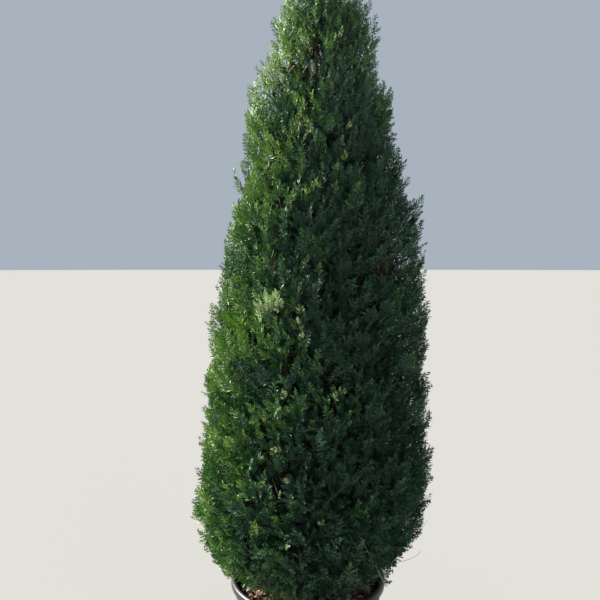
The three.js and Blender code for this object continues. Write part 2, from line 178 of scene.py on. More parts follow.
class Paint:
    """One material while it is being made: a Principled shader and the nodes that feed it."""

    def __init__(self, name: str, colour: Colour, roughness: float, shine: float) -> None:
        """Starts a material.

        Args:
            name: The material's name.
            colour: Its plain base colour.
            roughness: Its plain roughness.
            shine: Its specular level.
        """
        self.material = bpy.data.materials.new(name)
        self.material.use_nodes = True
        self.material.diffuse_color = (*colour, 1.0)
        self.tree = self.material.node_tree
        self.shader = self.tree.nodes["Principled BSDF"]
        plain = {"Base Color": (*colour, 1.0), "Roughness": roughness, "Specular IOR Level": shine}
        for key, setting in plain.items():
            self.shader.inputs[key].default_value = setting

    def node(self, kind: str, settings: dict | None = None, inputs: dict | None = None) -> bpy.types.Node:
        """Adds any node: its settings first, then its sockets.

        Args:
            kind: The node's type.
            settings: Properties by name; stops gives a ramp's places and colours.
            inputs: Numbers, colours, sockets or Values by the socket's name or number.

        Returns:
            The node.
        """
        made = self.tree.nodes.new(kind)
        for key, setting in (settings or {}).items():
            if key == "stops":
                self.set_stops(made.color_ramp, setting)
            else:
                setattr(made, key, setting)
        for key, given in (inputs or {}).items():
            if isinstance(key, int):
                socket = made.inputs[key]
            else:
                socket = next(s for s in made.inputs if s.name == key and s.enabled)
            self.feed(socket, given)
        return made

    def feed(self, socket: bpy.types.NodeSocket,
             given: "Value | bpy.types.NodeSocket | tuple | float") -> None:
        """Links or sets one input socket.

        Args:
            socket: The socket.
            given: A number, a colour, or what another node gives.
        """
        if isinstance(given, Value):
            given = given.socket
        if isinstance(given, bpy.types.NodeSocket):
            self.tree.links.new(given, socket)
        elif isinstance(given, tuple) and socket.type == "RGBA":
            socket.default_value = (*given[:3], 1.0)
        else:
            socket.default_value = given

    @staticmethod
    def set_stops(ramp: bpy.types.ColorRamp, stops: Sequence[tuple[float, Colour]]) -> None:
        """Gives a colour ramp its stops.

        Args:
            ramp: The ramp.
            stops: The place and the colour of each stop.
        """
        while len(ramp.elements) < len(stops):
            ramp.elements.new(1.0)
        for element, (place, colour) in zip(ramp.elements, stops):
            element.position = place
            element.color = (*colour, 1.0)

    def value(self, kind: str, settings: dict, inputs: dict, output: int | str = 0) -> Value:
        """Adds a node and wraps one of its outputs as a number."""
        return Value(self, self.node(kind, settings, inputs).outputs[output])

    def maths(self, operation: str, *numbers: Value | float) -> Value:
        """Adds a Math node that works out an operation on two numbers."""
        return self.value("ShaderNodeMath", {"operation": operation}, dict(enumerate(numbers)))

    def place(self) -> bpy.types.NodeSocket:
        """Gives the place on the object."""
        return self.node("ShaderNodeTexCoord").outputs["Object"]

    def noise(self, scale: float, detail: float, stretch: Triple = (1.0, 1.0, 1.0)) -> Value:
        """Noise over the surface, from 0 to 1, with scale cells to the metre."""
        stretched = self.node("ShaderNodeMapping", {}, {"Vector": self.place(), "Scale": stretch}).outputs[0]
        return self.value("ShaderNodeTexNoise", {}, {"Vector": stretched, "Scale": scale, "Detail": detail})

    def cells(self, scale: float) -> Value:
        """Distance to the nearest of scattered points, for grains."""
        return self.value("ShaderNodeTexVoronoi", {}, {"Vector": self.place(), "Scale": scale}, "Distance")

    def blend(self, factor: Value, low: Colour, high: Colour) -> bpy.types.NodeSocket:
        """Mixes two colours by a factor."""
        made = self.node("ShaderNodeMix", {"data_type": "RGBA"}, {"Factor": factor, "A": low, "B": high})
        return next(s for s in made.outputs if s.enabled)

    def ramp(self, factor: Value, stops: Sequence[tuple[float, Colour]]) -> bpy.types.NodeSocket:
        """Colours a number by a ramp."""
        return self.node("ShaderNodeValToRGB", {"stops": stops}, {"Fac": factor}).outputs["Color"]

    def finish(self, colour: bpy.types.NodeSocket, roughness: Value, height: Value,
               depth: float) -> bpy.types.Material:
        """Feeds the shader and ends the material.

        Args:
            colour: The base colour's socket.
            roughness: The roughness.
            height: The relief, from 0 to 1.
            depth: How deep that relief is, in metres.

        Returns:
            The material.
        """
        bump = self.node("ShaderNodeBump", {}, {"Distance": depth, "Height": height}).outputs["Normal"]
        for key, given in {"Base Color": colour, "Roughness": roughness, "Normal": bump}.items():
            self.feed(self.shader.inputs[key], given)
        return self.material


class Finish(Protocol):
    """What every finish can do."""

    def material(self) -> bpy.types.Material:
        """Makes the material."""


@dataclass(frozen=True)
class PlainFinish:
    """One plain colour all over: waxy scale leaves, wood or the floor."""

    name: str
    colour: Colour
    roughness: float = 0.8
    shine: float = 0.2

    def material(self) -> bpy.types.Material:
        """Makes the material."""
        return Paint(self.name, self.colour, self.roughness, self.shine).material


class Tone(Enum):
    """The greens that are dealt out by spray, from the darkest to the palest, then the brown. SHADE to FRESH
    are painted shade and painted sunlight as well as leaf colour: sprays are dealt darker tones towards the
    shaded side and deep inside, lighter ones towards the lit side.
    """

    SHADE = PlainFinish("leaf_shade", (0.014, 0.042, 0.029), 0.6, LEAF_SHINE)
    DEEP = PlainFinish("leaf_deep", (0.021, 0.066, 0.039), 0.56, LEAF_SHINE)
    MIDDLE = PlainFinish("leaf_middle", (0.033, 0.100, 0.042), 0.43, LEAF_SHINE)
    SUNLIT = PlainFinish("leaf_sunlit", (0.077, 0.190, 0.037), 0.43, LEAF_SHINE)
    # FRESH: young tips, and also painted sunlight on the lit side and in accents
    FRESH = PlainFinish("leaf_fresh", (0.200, 0.335, 0.068), 0.43, LEAF_SHINE)
    # PALE: painted sunlight, for the palest accent tufts
    PALE = PlainFinish("leaf_pale", (0.500, 0.600, 0.340), 0.43, LEAF_SHINE)
    RUSSET = PlainFinish("leaf_russet", (0.070, 0.044, 0.022), 0.7, LEAF_SHINE)

    @property
    def number(self) -> int:
        """The tone's place among the finishes of a piece of foliage."""
        return list(Tone).index(self)


class Twig(Enum):
    """The colours of the twigs, dealt out by twig."""

    BROWN = PlainFinish("twig_brown", (0.048, 0.032, 0.020))
    DUSTY = PlainFinish("twig_dusty", (0.072, 0.060, 0.036))
    PALE = PlainFinish("twig_pale", (0.330, 0.280, 0.210))


class Chip(Enum):
    """The kinds of chip in the mulch, dealt out by chip."""

    BARK = PlainFinish("chip_bark", (0.120, 0.066, 0.040), 0.85)
    RUST = PlainFinish("chip_rust", (0.190, 0.098, 0.052), 0.85)
    TAN = PlainFinish("chip_tan", (0.360, 0.245, 0.145), 0.8)
    STRAW = PlainFinish("chip_straw", (0.500, 0.390, 0.260), 0.8)
    GREY = PlainFinish("chip_grey", (0.260, 0.220, 0.185), 0.9)
    DARK = PlainFinish("chip_dark", (0.040, 0.026, 0.019), 0.9)


@dataclass(frozen=True)
class BarkFinish:
    """Fibrous red-brown bark that greys on its ridges."""

    dark: Colour = (0.040, 0.020, 0.012)
    middle: Colour = (0.140, 0.097, 0.068)
    grey: Colour = (0.330, 0.280, 0.230)
    fibre_cells: float = 260.0
    fibre_stretch: Triple = (1.0, 1.0, 0.08)
    patch_cells: float = 14.0
    patch_stretch: Triple = (1.0, 1.0, 0.35)
    fibre_share: float = 0.7
    patch_share: float = 0.3
    contrast: Range = (0.32, 0.68)
    roughest: float = 0.95
    ridge_shine: float = 0.25
    depth: float = 0.0012

    def material(self) -> bpy.types.Material:
        """Makes the bark's material.

        Returns:
            The material.
        """
        paint = Paint("bark", self.middle, roughness=0.85, shine=0.2)
        fibres = paint.noise(self.fibre_cells, detail=5.0, stretch=self.fibre_stretch)
        patches = paint.noise(self.patch_cells, detail=2.0, stretch=self.patch_stretch)
        shade = (fibres * self.fibre_share + patches * self.patch_share).clamped(*self.contrast)
        colour = paint.ramp(shade, [(0.0, self.dark), (0.5, self.middle), (1.0, self.grey)])
        return paint.finish(colour, self.roughest - fibres * self.ridge_shine, fibres, self.depth)


@dataclass(frozen=True)
class PlasticFinish:
    """Black nursery-pot plastic with a fine grain and dust that gathers low down."""

    black: Colour = (0.014, 0.015, 0.017)
    dust: Colour = (0.130, 0.105, 0.080)
    dust_height: float = 0.16
    low_dust: float = 0.55
    even_dust: float = 0.12
    smear_cells: float = 9.0
    smear_contrast: Range = (0.42, 0.72)
    speck_cells: float = 420.0
    speck_contrast: Range = (0.55, 0.75)
    speck_share: float = 0.06
    grain_cells: float = 900.0
    roughness: float = 0.34
    dust_roughness: float = 0.5
    grain_roughness: float = 0.1
    depth: float = 0.00025

    def material(self) -> bpy.types.Material:
        """Makes the pot's material.

        Returns:
            The material.
        """
        paint = Paint("pot_plastic", self.black, roughness=0.42, shine=0.5)
        height = paint.value("ShaderNodeSeparateXYZ", {}, {"Vector": paint.place()}, "Z")
        low = 1 - height.clamped(0.0, self.dust_height)
        smears = paint.noise(self.smear_cells, detail=6.0).clamped(*self.smear_contrast)
        specks = paint.noise(self.speck_cells, detail=2.0).clamped(*self.speck_contrast)
        dust = (low * self.low_dust + self.even_dust) * smears + specks * self.speck_share
        grain = paint.noise(self.grain_cells, detail=1.0)
        roughness = dust * self.dust_roughness + grain * self.grain_roughness + self.roughness
        return paint.finish(paint.blend(dust, self.black, self.dust), roughness, grain, self.depth)


@dataclass(frozen=True)
class MulchFinish:
    """Dark crumbly potting mix between the chips."""

    damp: Colour = (0.018, 0.012, 0.008)
    dry: Colour = (0.120, 0.076, 0.046)
    crumb_cells: float = 130.0
    patch_cells: float = 24.0
    crumb_share: float = 0.6
    patch_share: float = 0.6
    contrast: Range = (0.3, 0.85)
    crumb_shine: float = 0.2
    depth: float = 0.004

    def material(self) -> bpy.types.Material:
        """Makes the potting mix's material.

        Returns:
            The material.
        """
        paint = Paint("potting_mix", self.damp, roughness=0.95, shine=0.15)
        crumbs = paint.cells(self.crumb_cells)
        patches = paint.noise(self.patch_cells, detail=5.0)
        shade = (crumbs * self.crumb_share + patches * self.patch_share).clamped(*self.contrast)
        colour = paint.blend(shade, self.damp, self.dry)
        return paint.finish(colour, 1 - crumbs * self.crumb_shine, crumbs, self.depth)


MATERIALS: dict[str, bpy.types.Material] = {}


def made_material(finish: Finish) -> bpy.types.Material:
    """Gives a finish's material, which is made once.

    Args:
        finish: The finish.

    Returns:
        Its material.
    """
    key = repr(finish)
    if key not in MATERIALS:
        MATERIALS[key] = finish.material()
    return MATERIALS[key]


def placed(name: str, data: bpy.types.ID) -> bpy.types.Object:
    """Puts a new object into the scene.

    Args:
        name: The object's name.
        data: Its mesh, lamp or camera.

    Returns:
        The object.
    """
    made = bpy.data.objects.new(name, data)
    bpy.context.scene.collection.objects.link(made)
    return made


def grid_faces(rings: int, sides: int) -> np.ndarray:
    """Joins rings of points that each close on themselves.

    Args:
        rings: How many rings there are.
        sides: How many points each ring has.

    Returns:
        The quads between the rings, each a row of four corners.
    """
    ring, side = np.meshgrid(np.arange(rings - 1), np.arange(sides), indexing="ij")
    a = ring * sides + side
    b = ring * sides + (side + 1) % sides
    return np.stack([a, b, b + sides, a + sides], axis=-1).reshape(-1, 4)


def fan_faces(ring: np.ndarray, centre: int) -> np.ndarray:
    """Triangles from a closed ring of corners to one centre point."""
    return np.stack([ring, np.roll(ring, -1), np.full(len(ring), centre)], axis=-1)


def end_fans(rings: int, sides: int) -> list[np.ndarray]:
    """Triangles that close a stack of rings at both ends, with the two end points after the rings."""
    ring, count = np.arange(sides), rings * sides
    return [fan_faces(ring[::-1], count), fan_faces(ring + count - sides, count + 1)]


def tube(path: np.ndarray, radii: np.ndarray, sides: int) -> tuple[np.ndarray, np.ndarray]:
    """A closed limb along a path, with round ends drawn to a point.

    Args:
        path: The points of its axis.
        radii: Its radius at each of them.
        sides: How many sides its section has.

    Returns:
        Its points and its triangles.
    """
    along = unit(np.gradient(path, axis=0))
    across = unit(np.cross(along, UP) + np.array([NUDGE, 0.0, 0.0]))
    upright = np.cross(along, across)
    turn = turns(sides)[:, None]
    ring = across[:, None] * np.cos(turn) + upright[:, None] * np.sin(turn)
    points = (path[:, None] + ring * np.asarray(radii)[:, None, None]).reshape(-1, 3)
    tips = np.stack([path[0] - along[0] * radii[0] * TIP_REACH, path[-1] + along[-1] * radii[-1] * TIP_REACH])
    quads = grid_faces(len(path), sides)
    walls = [quads[:, [0, 1, 2]], quads[:, [0, 2, 3]]]
    return np.concatenate([points, tips]), np.concatenate([*walls, *end_fans(len(path), sides)])


@dataclass
class Heap:
    """Faces gathered for one piece, each with the number of its finish."""

    points: list[np.ndarray] = field(default_factory=list)
    faces: list[np.ndarray] = field(default_factory=list)
    finishes: list[np.ndarray] = field(default_factory=list)
    count: int = 0

    def add(self, points: np.ndarray, faces: np.ndarray | Sequence[np.ndarray],
            finish: np.ndarray | int = 0) -> None:
        """Adds faces.

        Args:
            points: Their corner points, one a row.
            faces: The corners of each face, three or four a row, in one array or in one for each number
                of corners.
            finish: The number of their finish, or one number for each face.
        """
        for part in [faces] if isinstance(faces, np.ndarray) else faces:
            self.faces.append(part + self.count)
            self.finishes.append(np.broadcast_to(np.asarray(finish, dtype=np.int32), (len(part),)))
        self.points.append(points)
        self.count += len(points)

    def build(self, name: str, finishes: Sequence[Finish], slot: str,
              smooth: bool = False) -> bpy.types.Object:
        """Turns the heap into one piece that rides with the plant.

        Args:
            name: The piece's name.
            finishes: Its finishes, in the order of their numbers.
            slot: The record's material slot; not used.
            smooth: Whether its faces are shaded smooth.

        Returns:
            The piece.
        """
        mesh = bpy.data.meshes.new(name)
        points = np.concatenate(self.points)
        sizes = np.concatenate([np.full(len(faces), faces.shape[1]) for faces in self.faces])
        corners = np.concatenate([faces.ravel() for faces in self.faces])
        mesh.vertices.add(len(points))
        mesh.vertices.foreach_set("co", points.astype(np.float32).ravel())
        mesh.loops.add(len(corners))
        mesh.loops.foreach_set("vertex_index", corners.astype(np.int32))
        mesh.polygons.add(len(sizes))
        mesh.polygons.foreach_set("loop_start", np.concatenate([[0], np.cumsum(sizes)[:-1]]).astype(np.int32))
        mesh.polygons.foreach_set("material_index", np.concatenate(self.finishes))
        mesh.polygons.foreach_set("use_smooth", np.full(len(sizes), smooth))
        for finish in finishes:
            mesh.materials.append(made_material(finish))
        mesh.update(calc_edges=True)
        mesh.validate()
        piece = placed(name, mesh)
        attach(piece, "root")
        log.info("%s: %d faces", name, len(sizes))
        return piece


@dataclass(frozen=True)
class Tier:
    """One storey of the crown: where its floor meets the outline, how that floor sweeps, and its masses."""

    foot: float
    sweep: float
    count: int


@dataclass(frozen=True)
class CrownOutline:
    """The crown's outline and tiers, and the trunk in it, by the rule of the part's source."""

    foot: float = 0.470
    top: float = 2.760
    radius: float = 0.412
    taper: float = 2.2
    skirt_share: float = 0.1
    skirt_tuck: float = 0.2
    fuller_side: float = 0.25
    ground: float = 0.380
    lean: float = 0.030
    sway: float = 0.009
    sway_waves: float = 0.8
    trunk_radius: float = 0.027
    trunk_tip_radius: float = 0.006
    trunk_tip: float = 2.290
    trunk_taper: float = 0.85
    turn: float = 0.62
    tiers: tuple[Tier, ...] = (
        Tier(0.470, 0.00, 6), Tier(0.820, 0.30, 5), Tier(1.160, 0.50, 5), Tier(1.490, 0.65, 4),
        Tier(1.810, 0.80, 4), Tier(2.120, 0.95, 3), Tier(2.390, 1.10, 1),
    )

    def bend(self, points: np.ndarray) -> np.ndarray:
        """Shifts points of the upright plant to where the leaning trunk holds them.

        Args:
            points: The points, one a row.

        Returns:
            The shifted points.
        """
        share = (points[:, 2] - self.ground) / (self.top - self.ground)
        x = self.lean * share - self.sway * np.sin(2 * np.pi * self.sway_waves * share)
        y = self.sway * np.sin(np.pi * share)
        return points + np.stack([x, y, np.zeros(len(points))], axis=-1)

    def share(self, z: Number) -> Number:
        """How far up the crown heights lie, from 0 at its foot to 1 at its top."""
        return np.clip((z - self.foot) / (self.top - self.foot), 0, 1)

    def reach(self, z: Number, azimuth: Number) -> Number:
        """Works out the crown's radius.

        Args:
            z: Heights.
            azimuth: The azimuth at each of them.

        Returns:
            The radius at each of them.
        """
        share = self.share(z)
        tuck = np.maximum(0, 1 - share / self.skirt_share)
        radius = self.radius * (1 - share ** self.taper) * (1 - self.skirt_tuck * tuck * tuck)
        return radius * (1 + self.fuller_side * share * np.cos(azimuth))

    def stem_radius(self, z: Number) -> Number:
        """The trunk's radius at heights, without its root flare."""
        share = np.clip((z - self.ground) / (self.trunk_tip - self.ground), 0, 1)
        return mix(self.trunk_radius, self.trunk_tip_radius, share ** self.trunk_taper)

    def spaces(self) -> "list[Space]":
        """Every mass's own space, tier by tier."""
        return [Space(self, tier, member) for tier, storey in enumerate(self.tiers[:-1])
                for member in range(storey.count)]


@dataclass(frozen=True)
class Space:
    """One mass's own space: a wedge of one tier, between two upswept cones and two upright planes."""

    crown: CrownOutline
    tier: int
    member: int
    bulge: float = 0.05
    bough_radius: Range = (0.0085, 0.00425)
    bough_root: float = 0.35
    bough_lift: Range = (0.16, 0.36)
    bough_curve: float = 1.4
    entry: float = 0.35
    entry_tuck: float = 0.6
    fit_rounds: int = 8

    @property
    def name(self) -> str:
        """The label that the mass and its bough share."""
        return f"{self.tier + 1}_{self.member + 1}"

    @property
    def half_angle(self) -> float:
        """Half of the wedge's angle."""
        return math.pi / self.crown.tiers[self.tier].count

    @property
    def azimuth(self) -> float:
        """The wedge's middle."""
        return (self.member + 0.5 + self.tier * self.crown.turn) * 2 * self.half_angle

    @property
    def bough_thickness(self) -> float:
        """The bough's radius at the trunk, finer in each higher tier."""
        return mix(*self.bough_radius, self.tier / (len(self.crown.tiers) - 2))

    @property
    def area(self) -> float:
        """Works out the area of the mass's outer face.

        Returns:
            The area.
        """
        low, high = self.crown.tiers[self.tier].foot, self.crown.tiers[self.tier + 1].foot
        wide = 2 * self.half_angle * float(self.crown.reach((low + high) / 2, self.azimuth))
        return (high - low) * wide

    def holds(self, azimuth: float, z: float) -> bool:
        """Tells whether a place on the crown's outline belongs to this space.

        Args:
            azimuth: The place's azimuth.
            z: Its height.

        Returns:
            Whether it does.
        """
        reach = self.crown.reach(z, azimuth)
        within = abs(aside(azimuth, self.azimuth)) <= self.half_angle
        return within and self.height(reach, 0.0) <= z < self.height(reach, 1.0)

    def height(self, radius: Number, up: Number) -> Number:
        """Works out a height in the space.

        Args:
            radius: The distance from the plant's axis.
            up: The share of the way from the space's floor, at 0, to its ceiling, at 1.

        Returns:
            The height.
        """
        low, high = self.crown.tiers[self.tier], self.crown.tiers[self.tier + 1]
        floor = low.foot - low.sweep * (self.crown.reach(low.foot, math.pi / 2) - radius)
        ceiling = high.foot - high.sweep * (self.crown.reach(high.foot, math.pi / 2) - radius)
        return mix(floor, ceiling, up)

    def place(self, across: np.ndarray, out: np.ndarray, up: np.ndarray) -> np.ndarray:
        """Sets points in the space.

        Args:
            across: Their shares across it, from -1 to 1.
            out: Their shares of the way out to the crown's outline.
            up: Their shares of the way up.

        Returns:
            The points.
        """
        azimuth = self.azimuth + across * self.half_angle
        bulge = 1 - self.bulge * (across * across + (2 * up - 1) ** 2) * out
        radius = self.crown.radius * out
        for _ in range(self.fit_rounds):
            radius = out * bulge * self.crown.reach(self.height(radius, up), azimuth)
        return polar(radius, azimuth, self.height(radius, up))

    def spot(self, across: float, out: float, up: float) -> np.ndarray:
        """One point from its shares across, out and up."""
        return self.place(np.array([across]), np.array([out]), np.array([up]))[0]

    def bough_path(self, steps: int) -> np.ndarray:
        """Leads the bough from inside the trunk to where it enters the mass.

        Args:
            steps: How many steps the path has.

        Returns:
            The points of the path.
        """
        root_height = self.height(0.0, self.bough_lift[0])
        start = self.bough_root * float(self.crown.stem_radius(root_height))
        out = self.entry * math.cos(self.entry_tuck * self.half_angle)
        entry = self.spot(0.0, out, self.bough_lift[1])
        share = np.linspace(0, 1, steps + 1)
        radius = mix(start, math.hypot(entry[0], entry[1]), share)
        lift = mix(*self.bough_lift, share ** self.bough_curve)
        return polar(radius, self.azimuth, self.height(radius, lift))


@dataclass(frozen=True)
class Hollow:
    """A place where the crown's surface lies back from its outline, or swells where the depth is below 0.

    The azimuth and half angle are in degrees.
    """

    azimuth: float
    height: float
    depth: float
    half_angle: float
    half_height: float

    def inward(self, azimuth: np.ndarray, z: np.ndarray) -> np.ndarray:
        """Works out how far the surface lies back.

        Args:
            azimuth: The azimuths of places on the outline.
            z: Their heights.

        Returns:
            How far it lies back at each of them.
        """
        turned = aside(azimuth, math.radians(self.azimuth)) / math.radians(self.half_angle)
        lift = (z - self.height) / self.half_height
        return self.depth * np.exp(-(turned * turned + lift * lift))


@dataclass(frozen=True)
class Opening:
    """A gap in the foliage through which the stem shows, with its azimuth in degrees."""

    azimuth: float
    height: float
    half_width: float
    half_height: float
    slope: float

    def clears(self, points: np.ndarray) -> np.ndarray:
        """Tells which points lie in the gap, which slopes down on its way out.

        Args:
            points: The points, one a row.

        Returns:
            Whether each of them lies in it.
        """
        turn = math.radians(self.azimuth)
        out = points[:, 0] * math.cos(turn) + points[:, 1] * math.sin(turn)
        off = points[:, 1] * math.cos(turn) - points[:, 0] * math.sin(turn)
        lift = points[:, 2] - self.height + self.slope * out
        return (out > 0) & ((off / self.half_width) ** 2 + (lift / self.half_height) ** 2 < 1)


@dataclass(frozen=True)
class Surface:
    """The crown's surface: its lumps, hollows, tucked foot, wavering hem and open top."""

    crown: CrownOutline
    broad: Noise = Noise(5.5, 11.3, 0)
    broad_lumps: float = 0.0155
    fine: Noise = Noise(15.0, 4.7, 1)
    fine_lumps: float = 0.0120
    highest_lump: float = 0.0145
    deepest_share: float = 0.3
    top_lumps: float = 1.0
    tip_calm: float = 0.65
    open_from: float = 0.62
    open_gain: float = 2.8
    foot_tuck: float = 0.036
    tuck_power: float = 1.5
    lowest: float = 0.452
    hem: Noise = Noise(7.0, 8.3, 3)
    hem_waver: float = 0.026
    hollows: tuple[Hollow, ...] = (
        Hollow(0.0, 2.150, 0.034, 50.0, 0.060), Hollow(0.0, 1.890, 0.055, 62.0, 0.110),
        Hollow(0.0, 2.380, 0.030, 60.0, 0.070), Hollow(190.0, 2.150, -0.030, 38.0, 0.060),
        Hollow(188.0, 2.020, -0.040, 40.0, 0.100), Hollow(180.0, 0.655, 0.004, 34.0, 0.120),
    )

    def openness(self, z: np.ndarray) -> np.ndarray:
        """How open the crown is at heights, from 0 below to 1 at its tip, which stands against the sky."""
        return np.clip((self.crown.share(z) - self.open_from) / (1 - self.open_from), 0, 1)

    def opened(self, z: np.ndarray) -> np.ndarray:
        """The same, rising faster and held at 1 from there on."""
        return np.minimum(1, self.openness(z) * self.open_gain)

    def calm(self, z: np.ndarray) -> np.ndarray:
        """How much of the lumps and strays is left at heights, less towards the tip."""
        return 1 - self.tip_calm * self.openness(z)

    def swell(self, outline: np.ndarray) -> np.ndarray:
        """Works out how far the lumps raise the surface, more so towards the crown's top.

        Args:
            outline: Places on the crown's outline.

        Returns:
            How far it is raised at each of them.
        """
        z = outline[:, 2]
        lump = self.broad_lumps * self.broad.at(outline) + self.fine_lumps * self.fine.at(outline)
        lump = np.minimum(lump, self.highest_lump) * (1 + self.top_lumps * self.crown.share(z))
        return np.maximum(lump, -self.deepest_share * np.hypot(outline[:, 0], outline[:, 1])) * self.calm(z)

    def radius(self, azimuth: np.ndarray, z: np.ndarray, depth: np.ndarray) -> np.ndarray:
        """Works out the radius of places, without the lumps.

        Args:
            azimuth: Their azimuths.
            z: Their heights.
            depth: Their shares of the way in from the outline.

        Returns:
            The radius of each.
        """
        radius = self.crown.reach(z, azimuth) * (1 - depth)
        radius -= sum(hollow.inward(azimuth, z) for hollow in self.hollows)
        tuck = np.maximum(0, 1 - self.crown.share(z) / self.crown.skirt_share)
        return radius - self.foot_tuck * tuck ** self.tuck_power

    @staticmethod
    def lifted(z: np.ndarray, hang: np.ndarray, lowest: Number) -> np.ndarray:
        """The heights of tips, raised where what hangs below them would go under a lowest height."""
        return z + np.maximum(0, lowest - (z - hang))

    def lowest_at(self, outline: np.ndarray) -> np.ndarray:
        """The height that no tuft's root goes under, which wavers round the plant."""
        return self.lowest + self.hem_waver * self.hem.at(outline)


@dataclass(frozen=True)
class SprayShape:
    """One flat spray of scale leaves, 1 long: an axis with branchlets on both sides, and their leaflets.

    The axis is two leaflets, each given by its start, length, width and share of young tips.
    """

    seed: int
    branchlets: int = 8
    leaflets: int = 1
    spread: float = 0.38
    angle: float = 0.72
    leaf_width: float = 0.084
    axis: tuple[tuple[float, float, float, float], ...] = ((0.0, 0.56, 0.05, 0.0), (0.42, 0.58, 0.08, 1.0))
    taper: float = 0.7
    least_length: float = 0.11
    length_spread: Range = (0.82, 1.12)
    angle_spread: Range = (0.85, 1.12)
    angle_run: Range = (1.12, 0.8)
    branchlet_run: Range = (0.08, 0.88)
    branchlet_width: float = 0.9
    leaflet_run: Range = (0.22, 0.72)
    leaflet_turn: Range = (0.5, 0.75)
    leaflet_spread: Range = (0.36, 0.5)
    leaflet_taper: Pair = (1.15, 0.5)
    leaflet_least: float = 0.03
    leaflet_width: float = 0.85
    widest: float = 0.70
    fold: float = 0.40
    tilt: float = 0.24
    roll: float = 0.75
    young_share: float = 0.45

    def leaves(self, rng: np.random.Generator) -> np.ndarray:
        """Works out the leaflets' places.

        Args:
            rng: The shape's own random numbers.

        Returns:
            A row for each leaflet: its root along and across, its angle, length and width, and whether it
            is young.
        """
        rows = []

        def leaf(along: float, across: float, angle: float, length: float, width: float,
                 young: float) -> None:
            """Notes one leaflet, which may be a young tip."""
            rows.append((along, across, angle, length, width, rng.random() < young))

        for start, length, width, young in self.axis:
            leaf(start, 0.0, 0.0, length, width, young)
        for index in range(self.branchlets):
            share = (index + 0.5) / self.branchlets
            side = 1 if (index + self.seed) % 2 else -1
            length = self.spread * (1 - share) ** self.taper + self.least_length
            length *= rng.uniform(*self.length_spread)
            angle = side * self.angle * rng.uniform(*self.angle_spread) * mix(*self.angle_run, share)
            root = mix(*self.branchlet_run, share)
            leaf(root, 0.0, angle, length, self.leaf_width * self.branchlet_width, self.young_share)
            for step in range(self.leaflets):
                along = mix(*self.leaflet_run, step / max(1, self.leaflets - 1))
                turned = angle + (1 if step % 2 else -1) * side * rng.uniform(*self.leaflet_turn)
                size = length * rng.uniform(*self.leaflet_spread)
                size = size * (self.leaflet_taper[0] - self.leaflet_taper[1] * along) + self.leaflet_least
                bud = root + along * length * math.cos(angle), along * length * math.sin(angle)
                leaf(*bud, turned, size, self.leaf_width * self.leaflet_width, self.young_share)
        return np.array(rows)

    def build(self) -> tuple[np.ndarray, np.ndarray, np.ndarray]:
        """Works out the spray.

        Returns:
            Its points along, across and out of its plane, its triangles, and which of them are young tips.
        """
        rng = np.random.default_rng(self.seed)
        rows = self.leaves(rng)
        count = len(rows)
        base, angles, size, half = rows[:, :2], rows[:, 2], rows[:, 3:4], rows[:, 4:5] / 2
        young = rows[:, -1].astype(int)
        heading = np.stack([np.cos(angles), np.sin(angles)], axis=-1)
        sideways = np.stack([-heading[:, 1], heading[:, 0]], axis=-1)
        middle = base + heading * size * self.widest
        corners = [base, middle - sideways * half, base + heading * size, middle + sideways * half]
        flat = np.stack(corners, axis=1)
        along = np.array([0.0, self.widest, 1.0, self.widest])
        rise = np.array([0.0, -1.0, 0.0, -1.0]) * self.fold * half
        rise = rise + np.array([0.0, -1.0, 0.0, 1.0]) * half * rng.normal(0, self.roll, count)[:, None]
        rise = rise + rng.normal(0, self.tilt, count)[:, None] * size * along
        points = np.concatenate([flat, rise[..., None]], axis=-1).reshape(-1, 3)
        first = 4 * np.arange(count)[:, None]
        halves = [first + np.array([0, 1, 2]), first + np.array([0, 2, 3])]
        triangles = np.stack(halves, axis=1).reshape(-1, 3)
        return points, triangles, np.repeat(young, 2)


@dataclass
class Sprays:
    """Many sprays of one mass, as arrays with a row for each."""

    root: np.ndarray
    axis: np.ndarray
    side: np.ndarray
    length: np.ndarray
    tone: np.ndarray
    shape: np.ndarray
    curl: np.ndarray

    @staticmethod
    def joined(parts: Sequence["Sprays"]) -> "Sprays":
        """Joins several lots of sprays into one."""
        return Sprays(*(np.concatenate(lots) for lots in zip(*(vars(part).values() for part in parts))))


@dataclass
class Plumes:
    """Tufts of sprays on one twig each, as arrays with a row for each tuft."""

    tip: np.ndarray
    heading: np.ndarray
    side: np.ndarray
    length: np.ndarray
    light: np.ndarray
    contrast: np.ndarray
    openness: np.ndarray

    @property
    def root(self) -> np.ndarray:
        """Where each tuft's twig leaves the twig that carries it."""
        return self.tip - self.heading * self.length[:, None]


@dataclass(frozen=True)
class Accent:
    """A few tufts that stand out palest in the photograph, painted pale and bright as painted sunlight, at an
    azimuth in degrees and a height.
    """

    azimuth: float
    height: float
    tufts: int
    tone: Tone = Tone.PALE
    size: float = 0.62
    full: bool = False


@dataclass(frozen=True)
class BareTwig:
    """A leafless twig that sticks out low on the plant: where it starts, bends and ends, and its radius."""

    start: Triple
    bend: Triple
    end: Triple
    radius: float

    def path(self, steps: int = 8) -> np.ndarray:
        """Leads the twig's axis from its start, past its bend, to its end.

        Args:
            steps: How many steps the path has.

        Returns:
            The points of the path.
        """
        share = np.linspace(0, 1, steps + 1)[:, None]
        first = mix(np.array(self.start), np.array(self.bend), share)
        return mix(first, mix(np.array(self.bend), np.array(self.end), share), share)


